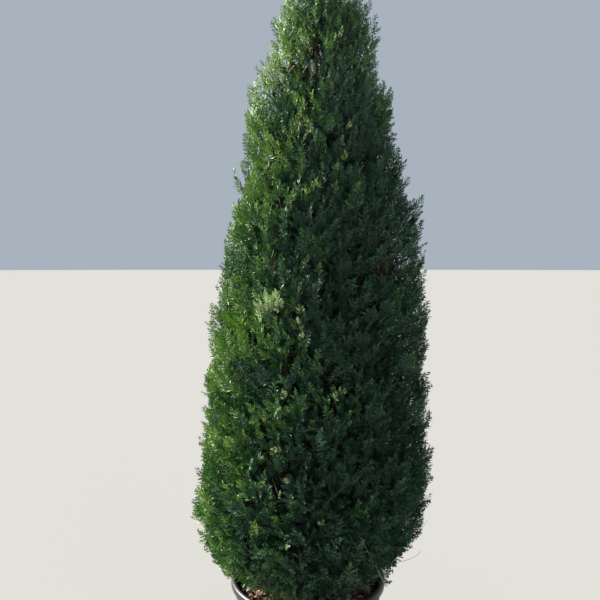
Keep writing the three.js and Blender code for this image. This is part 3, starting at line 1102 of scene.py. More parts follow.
@dataclass(frozen=True)
class Tints:
    """How light a tuft is painted, in steps of the tones: painted sunlight and shade by its side, painted
    light on its lump and towards the top, painted shade deep inside, and chance.
    """

    base: float = 1.70
    # painted sunlight and shade: tones lighter towards sun_azimuth, darker away from it
    sun_azimuth: float = 164.0
    sun: float = 1.0
    sun_middle: float = 0.10
    sun_edge: float = 1.6
    clumps: Noise = Noise(8.5, 2.9, 2)
    clump: float = 1.5
    shaded_contrast: float = 0.35
    # painted light: tufts on raised lumps get lighter tones
    lump: float = 20.0
    tuft: float = 0.28
    spray: float = 0.42
    last: float = 0.4
    # painted light: tufts towards the open top get lighter tones
    top: float = 0.75
    # painted shade: lots deep inside get darker tones
    inside: float = 2.0
    russet: Pair = (0.001, 0.02)

    def light(self, azimuth: np.ndarray, outline: np.ndarray, swell: np.ndarray,
              rng: np.random.Generator) -> tuple[np.ndarray, np.ndarray]:
        """Works out the painted light and shade of tufts, in steps of the tones.

        Args:
            azimuth: Their azimuths.
            outline: Their places on the crown's outline.
            swell: How far the lumps raise them.
            rng: The mass's own random numbers.

        Returns:
            Their light, and how much it varies there.
        """
        # painted sunlight and shade: tufts facing the sun get lighter tones, those facing away darker, with
        # less variation on the shaded side
        sunward = np.cos(azimuth - math.radians(self.sun_azimuth))
        contrast = mix(self.shaded_contrast, 1.0, (1 + sunward) / 2)
        light = self.sun * np.clip(self.sun_edge * (sunward - self.sun_middle), -1, 1) + self.lump * swell
        varied = self.clump * self.clumps.at(outline) + rng.normal(0, self.tuft, len(azimuth))
        return light + contrast * varied, contrast


@dataclass(frozen=True)
class TuftHabit:
    """How tufts stand: their length and rise from the crown's foot to its top, their turn, and the strays."""

    length: Range = (0.092, 0.064)
    length_spread: Range = (0.8, 1.15)
    rise: Range = (0.62, 1.25)
    rise_power: float = 0.6
    rise_spread: float = 0.20
    turn_spread: float = 0.3
    roll_reach: float = 1.6
    stray_share: float = 0.20
    stray_reach: float = 0.052
    stray_size: float = 1.28
    stray_lean: float = 0.22
    outer_depth: Range = (-0.02, 0.06)
    open_depth: float = 0.28
    inner_depth: Range = (0.08, 0.22)
    inner_size: float = 1.25
    # painted shade for the inner tufts
    inner_dark: float = 0.5
    accent_depth: Range = (-0.065, -0.035)
    accent_spread: Pair = (0.045, 0.012)
    accent_roll: float = 1.3


@dataclass(frozen=True)
class SprayHabit:
    """How sprays stand along a tuft's twig: where, at what angles, and how large beside the tuft."""

    places: tuple[float, ...] = (0.08, 0.24, 0.40, 0.55, 0.70, 0.85, 1.0)
    inner_places: tuple[float, ...] = (0.10, 0.32, 0.55, 0.78, 1.0)
    twig_share: float = 0.55
    angle: Range = (0.80, 0.42)
    angle_spread: Range = (0.8, 1.2)
    tilt_spread: float = 0.16
    roll_spread: float = 0.38
    size: Range = (0.52, 0.40)
    size_spread: Range = (0.85, 1.12)
    curl: Range = (-0.16, 0.22)
    cupping: float = 0.35
    accent_share: float = 0.6
    outer: tuple[SprayShape, ...] = (
        SprayShape(11), SprayShape(12, spread=0.44), SprayShape(13, 9, 1, 0.32, 0.62),
        SprayShape(14, 7, 2), SprayShape(15, 8, 1, 0.40, 0.82), SprayShape(16, 7, 1, 0.34),
    )
    open: tuple[SprayShape, ...] = (
        SprayShape(41, 8, 1, 0.32, 0.60, 0.072), SprayShape(42, 7, 2, 0.28, 0.52, 0.075),
        SprayShape(43, 8, 1, 0.34, 0.66, 0.070),
    )
    middle: tuple[SprayShape, ...] = (
        SprayShape(31, 8, 1, 0.38, 0.72, 0.092), SprayShape(32, 7, 1, 0.40, 0.78, 0.10),
    )
    deep: tuple[SprayShape, ...] = (
        SprayShape(21, 9, 1, 0.46, 0.80, 0.115), SprayShape(22, 8, 1, 0.42, 0.70, 0.12),
    )

    @property
    def shapes(self) -> tuple[SprayShape, ...]:
        """Every shape, in the order of their numbers."""
        return *self.outer, *self.open, *self.middle, *self.deep

    def numbers(self, shapes: Sequence[SprayShape]) -> list[int]:
        """The numbers of some of the shapes."""
        return [self.shapes.index(shape) for shape in shapes]


@dataclass(frozen=True)
class DeepHabit:
    """The coarse sprays deep inside, dark with painted shade, which stop the sky from showing through."""

    depth: Range = (0.16, 0.42)
    rise: Range = (0.5, 1.2)
    turn_spread: float = 0.5
    side_spread: float = 0.35
    length: Range = (0.150, 0.105)
    length_spread: Range = (0.85, 1.1)
    russet_share: float = 0.03
    clearance: float = 0.02
    curl: Range = (-0.2, 0.2)


@dataclass(frozen=True)
class SkirtHabit:
    """The tufts that hang out from under the lowest tier, lowest near one azimuth, in degrees."""

    tufts: int = 40
    droop: Range = (0.7, 1.6)
    rise: Range = (-0.036, 0.065)
    depth: Range = (-0.02, 0.42)
    # painted shade for the tufts that hang under the lowest tier
    dark: float = 0.3
    hang: float = 0.032
    hang_azimuth: float = -98.0
    hang_spread: float = 0.35


@dataclass(frozen=True)
class LeaderHabit:
    """The leader's tufts, inner tufts and deep sprays: how many, how deep, and how they gather lower down.

    The three sprigs of the apex are rows of their tip, from the crown's top, heading, side, length and light.
    """

    foot: float = 2.310
    tufts: int = 150
    gathering: float = 1.25
    below_top: float = 0.045
    depth: Range = (0.10, -0.36)
    depth_power: float = 0.5
    inner: int = 44
    inner_gathering: float = 1.3
    inner_below_top: float = 0.10
    inner_depth: Range = (0.15, 0.45)
    deep: int = 60
    deep_reach: Pair = (0.12, 0.14)
    deep_size: float = 0.8
    stem_steps: int = 5
    stem_below_top: float = 0.05
    stem_tip: float = 0.0012
    fork_drop: float = 0.03
    twig: float = 0.0014
    twig_reach: float = 0.7
    apex: tuple[tuple[Triple, Triple, Triple, float, float], ...] = (
        ((0.004, 0.0, -0.004), (0.02, 0.0, 1.0), (1.0, 0.3, 0.0), 0.115, 0.3),
        ((0.018, 0.01, -0.05), (0.12, 0.06, 1.0), (0.4, 1.0, 0.0), 0.1, 0.2),
        ((-0.014, -0.008, -0.075), (-0.12, -0.05, 1.0), (0.8, -0.5, 0.0), 0.1, 0.2),
    )


@dataclass(frozen=True)
class TwigHabit:
    """How a mass's stem and twigs run, in shares of its space and of its bough's thickness."""

    main: tuple[int, ...] = (12, 12, 11, 11, 10, 10)
    stem_goal: Pair = (0.62, 0.5)
    stem_thick: float = 0.62
    stem_taper: tuple[float, ...] = (1.0, 0.8, 0.6)
    stem_sides: int = 6
    forks_from: float = 0.3
    wide: float = 1.84
    swerve: float = 0.08
    swerve_use: tuple[int, int] = (100, 7)
    end: Pair = (0.85, 0.73)
    end_up: Range = (0.08, 0.76)
    goal_up: Range = (0.10, 0.975)
    tip: float = 0.03
    main_thick: float = 0.55
    tuft_thick: float = 0.0016
    tuft_reach: float = 0.75
    taper: tuple[float, ...] = (1.0, 0.6, 0.22)
    sides: int = 3
    crossing: float = 0.6
    bare_taper: float = 0.35
    bare_sides: int = 5


@dataclass
class Foliage:
    """The crown's foliage: tufts of flat sprays that clothe each mass's space out to the crown's outline."""

    crown: CrownOutline
    tufts_per_area: float = 635.0
    inner_per_area: float = 205.0
    deep_per_area: float = 560.0
    open_inner: float = 0.75
    open_deep: float = 0.62
    scatter: Pair = (0.03, 0.02)
    tuft: TuftHabit = TuftHabit()
    spray: SprayHabit = SprayHabit()
    deep: DeepHabit = DeepHabit()
    skirt: SkirtHabit = SkirtHabit()
    leader: LeaderHabit = LeaderHabit()
    twig: TwigHabit = TwigHabit()
    tints: Tints = Tints()
    openings: tuple[Opening, ...] = (Opening(-91.0, 2.235, 0.019, 0.058, 0.34),)
    # painted sunlight: pale and bright accent tufts
    accents: tuple[Accent, ...] = (
        Accent(-110.0, 1.412, 7, size=0.66, full=True), Accent(-113.0, 1.404, 4, size=0.66),
        Accent(-118.0, 1.392, 3, size=0.6), Accent(-97.0, 1.385, 1, size=0.5),
        Accent(-94.5, 1.345, 1, size=0.8), Accent(-94.5, 1.300, 1, size=0.5),
        Accent(-101.0, 1.137, 1, size=0.5), Accent(-75.4, 1.128, 2, size=0.5),
        Accent(-99.5, 1.722, 2, Tone.FRESH, 0.5), Accent(-94.0, 1.745, 2, Tone.FRESH, 0.5),
        Accent(-88.0, 1.755, 2, Tone.FRESH, 0.45), Accent(-73.5, 1.815, 1, Tone.FRESH, 0.4),
        Accent(-71.5, 1.860, 1, Tone.FRESH, 0.4), Accent(-69.5, 1.905, 1, size=0.4),
        Accent(-114.6, 0.735, 3, Tone.FRESH, 0.5), Accent(-82.6, 0.763, 1, Tone.FRESH, 0.5),
        Accent(-109.3, 0.930, 1, size=0.38), Accent(-106.0, 0.953, 1, size=0.38),
        Accent(-101.8, 0.980, 1, size=0.36), Accent(-109.0, 0.843, 1, size=0.38),
        Accent(-106.0, 0.862, 1, Tone.FRESH, 0.38), Accent(-103.0, 0.880, 1, size=0.36),
        Accent(-142.0, 2.185, 6, size=0.75), Accent(-148.0, 2.155, 3, size=0.6),
        Accent(-168.0, 2.150, 2, Tone.FRESH, 0.9), Accent(-106.0, 2.250, 4, Tone.SUNLIT, 0.6),
        Accent(-78.0, 2.220, 3, Tone.SUNLIT, 0.5), Accent(-106.0, 2.030, 2, Tone.SUNLIT, 0.6),
        Accent(-101.0, 1.990, 3, Tone.SUNLIT, 0.6), Accent(-104.0, 1.950, 3, Tone.SUNLIT, 0.6),
    )
    bare_twigs: tuple[BareTwig, ...] = (
        BareTwig((0.10, -0.24, 0.74), (0.171, -0.335, 0.655), (0.238, -0.300, 0.505), 0.0019),
        BareTwig((0.12, -0.18, 0.50), (0.300, -0.215, 0.545), (0.402, -0.120, 0.640), 0.0015),
        BareTwig((0.14, -0.16, 0.53), (0.310, -0.190, 0.500), (0.372, -0.175, 0.560), 0.0013),
    )
    twigs: Heap = field(default_factory=Heap)

    def __post_init__(self) -> None:
        """Makes the surface and builds the spray shapes once."""
        self.surface = Surface(self.crown)
        self.built = [shape.build() for shape in self.spray.shapes]

    def thinned(self, azimuth: np.ndarray, z: np.ndarray, least: float,
                rng: np.random.Generator) -> tuple[np.ndarray, np.ndarray]:
        """Drops places inside the open part of the crown.

        Args:
            azimuth: The places' azimuths.
            z: Their heights.
            least: The share of them that stays where the crown is open.
            rng: The mass's own random numbers.

        Returns:
            The azimuths and the heights that stay.
        """
        kept = rng.random(len(z)) < mix(1.0, least, self.surface.opened(z))
        return azimuth[kept], z[kept]

    def plumes(self, azimuth: np.ndarray, z: np.ndarray, depth: np.ndarray, rng: np.random.Generator,
               droop: Number = 0.0, roll_reach: float | None = None, size: float = 1.0) -> Plumes:
        """Sets tufts on the crown's surface.

        Args:
            azimuth: The azimuth of each tuft's tip.
            z: The height of each tip.
            depth: How far each tip lies inside the outline, as a share of the radius there.
            rng: The mass's own random numbers.
            droop: How far each tuft leans out and down from its usual rise, in radians.
            roll_reach: How far each tuft may roll from facing out towards standing edge-on, in radians.
            size: How large the tufts are beside the outer ones.

        Returns:
            The tufts.
        """
        habit, surface = self.tuft, self.surface
        count, share = len(azimuth), self.crown.share(z)
        outline = polar(self.crown.reach(z, azimuth), azimuth, z)
        swell = surface.swell(outline)
        stray = (rng.random(count) < habit.stray_share) * share
        radius = surface.radius(azimuth, z, depth) + swell
        radius += habit.stray_reach * stray * rng.random(count) * surface.calm(z)
        rise = mix(*habit.rise, share ** habit.rise_power) + rng.normal(0, habit.rise_spread, count)
        rise -= droop + habit.stray_lean * stray
        turn = azimuth + rng.normal(0, habit.turn_spread, count)
        heading = polar(np.cos(rise), turn, np.sin(rise))
        tangent = unit(np.cross(UP, polar(1.0, turn, np.zeros(count))))
        reach = habit.roll_reach if roll_reach is None else roll_reach
        roll = rng.uniform(-reach, reach, count)[:, None]
        side = tangent * np.cos(roll) + np.cross(heading, tangent) * np.sin(roll)
        length = size * mix(*habit.length, share) * rng.uniform(*habit.length_spread, count)
        length *= mix(1.0, habit.stray_size, stray)
        light, contrast = self.tints.light(azimuth, outline, swell, rng)
        # painted light: lighter tones towards the open top
        light += self.tints.top * surface.opened(z)
        tip_height = surface.lifted(z, heading[:, 2] * length, surface.lowest_at(outline))
        tip = polar(radius, azimuth, tip_height)
        return Plumes(tip, heading, side, length, light, contrast, surface.openness(z))

    def sprays(self, plumes: Plumes, rng: np.random.Generator, darker: float = 0.0,
               shapes: Sequence[SprayShape] = (), accent: Tone | None = None) -> Sprays:
        """Sets the sprays along each tuft's twig.

        Args:
            plumes: The tufts.
            rng: The mass's own random numbers.
            darker: How much painted shade darkens the lot, from 0 at the surface to 1 deep inside.
            shapes: The shapes to choose from, the outer ones if none are given.
            accent: The one tone that the whole lot has, if it stands out.

        Returns:
            The sprays.
        """
        habit, tints = self.spray, self.tints
        lots = []
        kinds, open_kinds = habit.numbers(shapes or habit.outer), habit.numbers(habit.open)
        count = len(plumes.length)
        normal = np.cross(plumes.heading, plumes.side)
        places = habit.inner_places if shapes else habit.places
        for index, share in enumerate(places):
            last = index == len(places) - 1
            way = 1 if index % 2 else -1
            angle = 0.0 if last else way * mix(*habit.angle, share) * rng.uniform(*habit.angle_spread, count)
            angle = np.broadcast_to(angle, (count,))[:, None]
            tilt = rng.normal(0, habit.tilt_spread, count)[:, None]
            axis = unit(plumes.heading * np.cos(angle) + plumes.side * np.sin(angle) + normal * tilt)
            flat = plumes.side * np.cos(angle) - plumes.heading * np.sin(angle)
            roll = rng.normal(0, habit.roll_spread, count)[:, None]
            side = unit(flat * np.cos(roll) + normal * np.sin(roll))
            twig = plumes.length * habit.twig_share * share
            root = plumes.root + plumes.heading * twig[:, None]
            size = plumes.length * mix(*habit.size, 0.0 if last else share)
            size *= rng.uniform(*habit.size_spread, count)
            # painted shade: lots deeper inside get darker tones
            level = tints.base + plumes.light + (tints.last if last else 0.0) - tints.inside * darker
            level += rng.normal(0, tints.spray, count) * plumes.contrast
            tone = np.clip(np.round(level), 0, Tone.FRESH.number).astype(int)
            tone[rng.random(count) < tints.russet[0] + tints.russet[1] * darker] = Tone.RUSSET.number
            # painted sunlight: an accent's sprays take its pale or bright tone, the rest sunlit ones
            if accent is not None:
                beside = Tone.SUNLIT.number + index % 2
                tone = np.where(rng.random(count) < habit.accent_share, accent.number, beside)
            shape = rng.choice(kinds, count)
            if not shapes:
                high = rng.random(count) < plumes.openness * self.surface.open_gain
                shape = np.where(high, rng.choice(open_kinds, count), shape)
            lots.append(Sprays(root, axis, side, size, tone, shape, rng.uniform(*habit.curl, count)))
        return Sprays.joined(lots)

    def deep_sprays(self, azimuth: np.ndarray, z: np.ndarray, rng: np.random.Generator) -> Sprays:
        """Sets the coarse dark sprays deep inside the crown.

        Args:
            azimuth: The azimuth of each spray's tip.
            z: The height of each tip.
            rng: The mass's own random numbers.

        Returns:
            The sprays.
        """
        habit, count = self.deep, len(azimuth)
        radius = self.crown.reach(z, azimuth) * (1 - rng.uniform(*habit.depth, count))
        rise = rng.uniform(*habit.rise, count)
        heading = polar(np.cos(rise), azimuth + rng.normal(0, habit.turn_spread, count), np.sin(rise))
        outward = polar(1.0, azimuth, np.zeros(count)) + rng.normal(0, habit.side_spread, (count, 3))
        side = unit(np.cross(heading, outward))
        length = mix(*habit.length, self.crown.share(z)) * rng.uniform(*habit.length_spread, count)
        # deep sprays take the darkest tone: painted shade, as well as the dark green of old inner foliage; a
        # few are russet
        tone = np.where(rng.random(count) < habit.russet_share, Tone.RUSSET.number, Tone.SHADE.number)
        shape = rng.choice(self.spray.numbers(self.spray.deep), count)
        lowest = self.surface.lowest + habit.clearance
        tip = polar(radius, azimuth, self.surface.lifted(z, heading[:, 2] * length, lowest))
        root = tip - heading * length[:, None]
        return Sprays(root, heading, side, length, tone, shape, rng.uniform(*habit.curl, count))

    def fill(self, heap: Heap, sprays: Sprays) -> None:
        """Adds the leaves of sprays to a heap, bent with the trunk.

        Args:
            heap: The heap.
            sprays: The sprays.
        """
        normal = np.cross(sprays.axis, sprays.side)
        middle = sprays.root + sprays.axis * (sprays.length / 2)[:, None]
        kept = ~np.any([opening.clears(middle) for opening in self.openings], axis=0)
        for kind, (points, triangles, young) in enumerate(self.built):
            chosen = np.flatnonzero(kept & (sprays.shape == kind))
            if not len(chosen):
                continue
            x, y, z = points.T
            size = sprays.length[chosen][:, None, None]
            lifted = z + sprays.curl[chosen][:, None] * (x * x) - self.spray.cupping * (y * y)
            places = sprays.root[chosen][:, None] + size * (
                sprays.axis[chosen][:, None] * x[:, None]
                + sprays.side[chosen][:, None] * y[:, None]
                + normal[chosen][:, None] * lifted[..., None]
            )
            first = (np.arange(len(chosen)) * len(points))[:, None, None]
            tone = sprays.tone[chosen][:, None]
            lighter = np.minimum(tone + young[None], Tone.FRESH.number)
            tones = np.where(tone > Tone.FRESH.number, tone, lighter)
            grown = self.crown.bend(places.reshape(-1, 3))
            heap.add(grown, (triangles + first).reshape(-1, 3), tones.ravel())

    def leaves(self, name: str, lots: Sequence[Sprays]) -> None:
        """Builds one mass's leaves, as one piece.

        Args:
            name: The mass's label.
            lots: Its sprays.
        """
        heap = Heap()
        self.fill(heap, Sprays.joined(lots))
        piece = heap.build(f"leaves_{name}", [tone.value for tone in Tone], "foliage")
        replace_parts(piece, f"foliage_{name}")

    def grow_twigs(self, starts: np.ndarray, ends: np.ndarray, tips: np.ndarray, thick: float) -> None:
        """Adds slim twigs that leave a limb, bend and run to a point.

        Args:
            starts: Where they leave the limb.
            ends: Where they bend.
            tips: Their points.
            thick: Their radius at the limb.
        """
        habit = self.twig
        inside = mix(starts, ends, habit.crossing)
        kept = ~np.any([opening.clears(inside) for opening in self.openings], axis=0)
        for index, path in enumerate(np.stack([starts, ends, tips], axis=1)[kept]):
            points, faces = tube(path, thick * np.array(habit.taper), habit.sides)
            self.twigs.add(self.crown.bend(points), faces, index % 2)

    def surface_points(self, space: Space, per_area: float,
                       rng: np.random.Generator) -> tuple[np.ndarray, np.ndarray]:
        """Spreads points evenly over a mass's outer face.

        Args:
            space: The mass's space.
            per_area: How many points to the square metre.
            rng: The mass's own random numbers.

        Returns:
            Their azimuths and their heights.
        """
        count = int(space.area * per_area)
        index = np.arange(count)
        across = 2 * ((index * GOLDEN_SHARE + rng.random()) % 1) - 1 + rng.normal(0, self.scatter[0], count)
        up = (index + 0.5) / count + rng.normal(0, self.scatter[1], count)
        points = space.place(across, np.ones(count), up)
        return np.arctan2(points[:, 1], points[:, 0]), points[:, 2]

    def clothe(self, space: Space) -> None:
        """Grows one mass: twigs from its bough's tip, tufts at the surface, and darker ones behind them.

        Args:
            space: The mass's space.
        """
        habit = self.tuft
        rng = np.random.default_rng([SEED, space.tier, space.member])
        azimuth, z = self.surface_points(space, self.tufts_per_area, rng)
        depth = rng.uniform(*habit.outer_depth, len(z))
        depth += habit.open_depth * self.surface.openness(z) * rng.random(len(z))
        outer = self.plumes(azimuth, z, depth, rng)
        azimuth, z = self.surface_points(space, self.inner_per_area, rng)
        azimuth, z = self.thinned(azimuth, z, self.open_inner, rng)
        depth = rng.uniform(*habit.inner_depth, len(z))
        inner = self.plumes(azimuth, z, depth, rng, size=habit.inner_size)
        lots = [self.sprays(outer, rng), self.sprays(inner, rng, habit.inner_dark, self.spray.middle)]
        azimuth, z = self.surface_points(space, self.deep_per_area, rng)
        azimuth, z = self.thinned(azimuth, z, self.open_deep, rng)
        lots.append(self.deep_sprays(azimuth, z, rng))
        tufts = [outer, inner]
        for number, accent in enumerate(self.accents):
            if space.holds(math.radians(accent.azimuth), accent.height):
                own = np.random.default_rng([SEED, number])
                tufts.append(self.bright_tufts(accent, own))
                shapes = () if accent.full else self.spray.open
                lots.append(self.sprays(tufts[-1], own, shapes=shapes, accent=accent.tone))
        if space.tier == 0:
            tufts.append(self.hanging_tufts(space, rng))
            lots.append(self.sprays(tufts[-1], rng, self.skirt.dark))
        self.leaves(space.name, lots)
        self.branch(space, tufts)

    def bright_tufts(self, accent: Accent, rng: np.random.Generator) -> Plumes:
        """Sets the tufts of one accent, a little proud of the rest.

        Args:
            accent: The accent.
            rng: The accent's own random numbers.

        Returns:
            The tufts.
        """
        habit, count = self.tuft, accent.tufts
        azimuth = math.radians(accent.azimuth) + rng.normal(0, habit.accent_spread[0], count)
        z = accent.height + rng.normal(0, habit.accent_spread[1], count)
        depth = rng.uniform(*habit.accent_depth, count)
        return self.plumes(azimuth, z, depth, rng, roll_reach=habit.accent_roll, size=accent.size)

    def hanging_tufts(self, space: Space, rng: np.random.Generator) -> Plumes:
        """Sets the tufts that hang out from under one mass of the lowest tier.

        Args:
            space: The mass's space.
            rng: The mass's own random numbers.

        Returns:
            The tufts.
        """
        habit, count = self.skirt, self.skirt.tufts
        azimuth = space.azimuth + space.half_angle * rng.uniform(-1, 1, count)
        z = self.crown.foot + rng.uniform(*habit.rise, count)
        turned = aside(azimuth, math.radians(habit.hang_azimuth)) / habit.hang_spread
        z -= habit.hang * np.exp(-turned * turned)
        droop = rng.uniform(*habit.droop, count)
        return self.plumes(azimuth, z, rng.uniform(*habit.depth, count), rng, droop)

    def branch(self, space: Space, tufts: Sequence[Plumes]) -> None:
        """Grows the stem, the main twigs and the tufts' own twigs of one mass.

        Args:
            space: The mass's space.
            tufts: Its tufts.
        """
        habit = self.twig
        entry = space.bough_path(3)[-1]
        inside = space.spot(0.0, *habit.stem_goal)
        thick = space.bough_thickness * habit.stem_thick
        stem = np.stack([entry, mix(entry, inside, 0.5), inside])
        points, faces = tube(stem, thick * np.array(habit.stem_taper), habit.stem_sides)
        self.twigs.add(self.crown.bend(points), faces)
        number = habit.main[space.tier]
        index = np.arange(number)
        up = (index + 0.5) / number
        first, step = habit.swerve_use
        swerve = np.array([chance(space.tier, space.member, first + step * each) for each in index])
        across = habit.wide * ((index * GOLDEN_SHARE) % 1 - 0.5) + mix(-habit.swerve, habit.swerve, swerve)
        forks = mix(entry, inside, mix(habit.forks_from, 1.0, up)[:, None])
        ends = space.place(across * habit.end[0], np.full(number, habit.end[1]), mix(*habit.end_up, up))
        goals = space.place(across, np.ones(number), mix(*habit.goal_up, up))
        self.grow_twigs(forks, ends, ends + unit(goals - ends) * habit.tip, thick * habit.main_thick)
        for lot in tufts:
            nearest = np.argmin(np.linalg.norm(lot.root[:, None] - ends[None], axis=-1), axis=1)
            tip = lot.root + lot.heading * (lot.length * habit.tuft_reach)[:, None]
            self.grow_twigs(ends[nearest], lot.root, tip, habit.tuft_thick)

    def clothe_leader(self) -> None:
        """Grows the foliage round the stem that carries on from the trunk's tip."""
        habit, top = self.leader, self.crown.top
        rng = np.random.default_rng([SEED, len(self.crown.tiers)])
        count = habit.tufts
        share = (np.arange(count) + 0.5) / count
        z = mix(habit.foot, top - habit.below_top, share ** habit.gathering)
        depth = mix(*habit.depth, share ** habit.depth_power) + rng.uniform(*self.tuft.outer_depth, count)
        outer = self.plumes(np.arange(count) * 2 * math.pi * GOLDEN_SHARE, z, depth, rng)
        z = mix(habit.foot, top - habit.inner_below_top, rng.random(habit.inner) ** habit.inner_gathering)
        azimuth = rng.uniform(0, 2 * math.pi, habit.inner)
        depth = rng.uniform(*habit.inner_depth, habit.inner)
        inner = self.plumes(azimuth, z, depth, rng, size=self.tuft.inner_size)
        tip, heading, side, length, light = (np.array(column) for column in zip(*habit.apex))
        sprigs = np.ones(len(tip))
        apex = Plumes(tip + top * UP, unit(heading), unit(side), length, light, sprigs, sprigs)
        below, under_top = habit.deep_reach
        z = mix(habit.foot - below, top - under_top, rng.random(habit.deep) ** habit.inner_gathering)
        deep = self.deep_sprays(rng.uniform(0, 2 * math.pi, habit.deep), z, rng)
        deep.length *= habit.deep_size
        lots = [self.sprays(outer, rng), self.sprays(apex, rng)]
        lots.append(self.sprays(inner, rng, self.tuft.inner_dark, self.spray.middle))
        self.leaves("leader", [*lots, deep])
        base, summit, steps = self.crown.trunk_tip, top - habit.stem_below_top, habit.stem_steps
        stem = polar(np.zeros(steps), 0.0, np.linspace(base, summit, steps))
        radii = np.linspace(self.crown.trunk_tip_radius, habit.stem_tip, steps)
        points, faces = tube(stem, radii, self.twig.stem_sides)
        self.twigs.add(self.crown.bend(points), faces)
        for lot in (outer, inner, apex):
            forks = polar(0.0, 0.0, np.clip(lot.root[:, 2] - habit.fork_drop, base, summit))
            tip = lot.root + lot.heading * (lot.length * habit.twig_reach)[:, None]
            self.grow_twigs(forks, lot.root, tip, habit.twig)

    def build(self) -> None:
        """Grows the whole crown."""
        for space in self.crown.spaces():
            self.clothe(space)
        self.clothe_leader()
        for twig in self.bare_twigs:
            path = twig.path()
            radii = twig.radius * np.linspace(1.0, self.twig.bare_taper, len(path))
            self.twigs.add(*tube(path, radii, self.twig.bare_sides), list(Twig).index(Twig.PALE))
        self.twigs.build("twigs", [twig.value for twig in Twig], "bark")


@dataclass
class Wood:
    """The trunk and the boughs, with the relief of fibrous bark."""

    crown: CrownOutline
    sides: int = 72
    rings: int = 300
    ring_gathering: float = 1.3
    flare: float = 0.017
    flare_height: float = 0.046
    flare_lobes: int = 4
    lobe_depth: float = 0.3
    lobe_turn: float = 0.6
    relief: float = 0.0022
    strip: Pair = (0.0075, 0.075)
    fine_strips: Triple = (2.3, 2.3, 1.7)
    fine_shift: float = 5.1
    ridge_share: float = 0.8
    fine_share: float = 0.25
    bark_noise: int = 40
    tip: float = 0.002
    bough_sides: int = 14
    bough_steps: int = 18
    bough_tip_share: float = 0.62
    collar: float = 0.45
    collar_fade: float = 7.0
    bough_noise: int = 50
    bough_cells: float = 260.0
    bough_relief: float = 0.10

    def fibre(self, points: np.ndarray) -> np.ndarray:
        """Works out the height of the bark's strips.

        Args:
            points: Points of the trunk, one a row.

        Returns:
            The height at each of them, from 0 to 1.
        """
        wide, long = self.strip
        twisted = points / np.array([wide, wide, long])
        broad = 1 - np.abs(value_noise(twisted, self.bark_noise))
        fine = value_noise(twisted * np.array(self.fine_strips) + self.fine_shift, self.bark_noise + 1)
        return np.clip(broad ** 2 * self.ridge_share + self.fine_share * fine, 0, 1)

    def trunk(self) -> None:
        """Builds the trunk from its flat cut at the ground to its tip."""
        share = (np.arange(self.rings + 1) / self.rings) ** self.ring_gathering
        z = np.repeat(mix(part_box("trunk")[0].z, self.crown.trunk_tip, share), self.sides)
        turn = np.tile(turns(self.sides), self.rings + 1)
        lobe = 1 + self.lobe_depth * np.cos(self.flare_lobes * turn + self.lobe_turn)
        flare = self.flare * lobe * np.exp(-(z - self.crown.ground) / self.flare_height)
        smooth = self.crown.stem_radius(z) + flare
        bark = self.fibre(polar(smooth, turn, z))
        depth = self.relief * np.minimum(1, smooth / self.crown.trunk_radius)
        points = polar(smooth - depth * (1 - bark), turn, z)
        ends = np.array([z[0], z[-1] + self.tip])[:, None] * UP
        faces = [grid_faces(self.rings + 1, self.sides), *end_fans(self.rings + 1, self.sides)]
        heap = Heap()
        heap.add(self.crown.bend(np.concatenate([points, ends])), faces)
        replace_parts(heap.build("trunk_bark", [BarkFinish()], "bark", smooth=True), "trunk")

    def boughs(self) -> None:
        """Builds every bough, each one tapering limb out of the trunk, and joins them into one piece."""
        heap = Heap()
        spaces = self.crown.spaces()
        for space in spaces:
            path = space.bough_path(self.bough_steps)
            share = np.linspace(0, 1, len(path))
            collar = 1 + self.collar * np.exp(-share * self.collar_fade)
            radii = space.bough_thickness * mix(1.0, self.bough_tip_share, share) * collar
            points, faces = tube(path, radii, self.bough_sides)
            axis = np.repeat(path, self.bough_sides, axis=0)
            body = points[: len(axis)]
            relief = value_noise(body * self.bough_cells, self.bough_noise + space.tier)
            body += (body - axis) * self.bough_relief * relief[:, None]
            heap.add(self.crown.bend(points), faces)
        piece = heap.build("bough_bark", [BarkFinish()], "bark", smooth=True)
        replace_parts(piece, *(f"bough_{space.name}" for space in spaces))

    def build(self) -> None:
        """Builds the trunk and the boughs."""
        self.trunk()
        self.boughs()


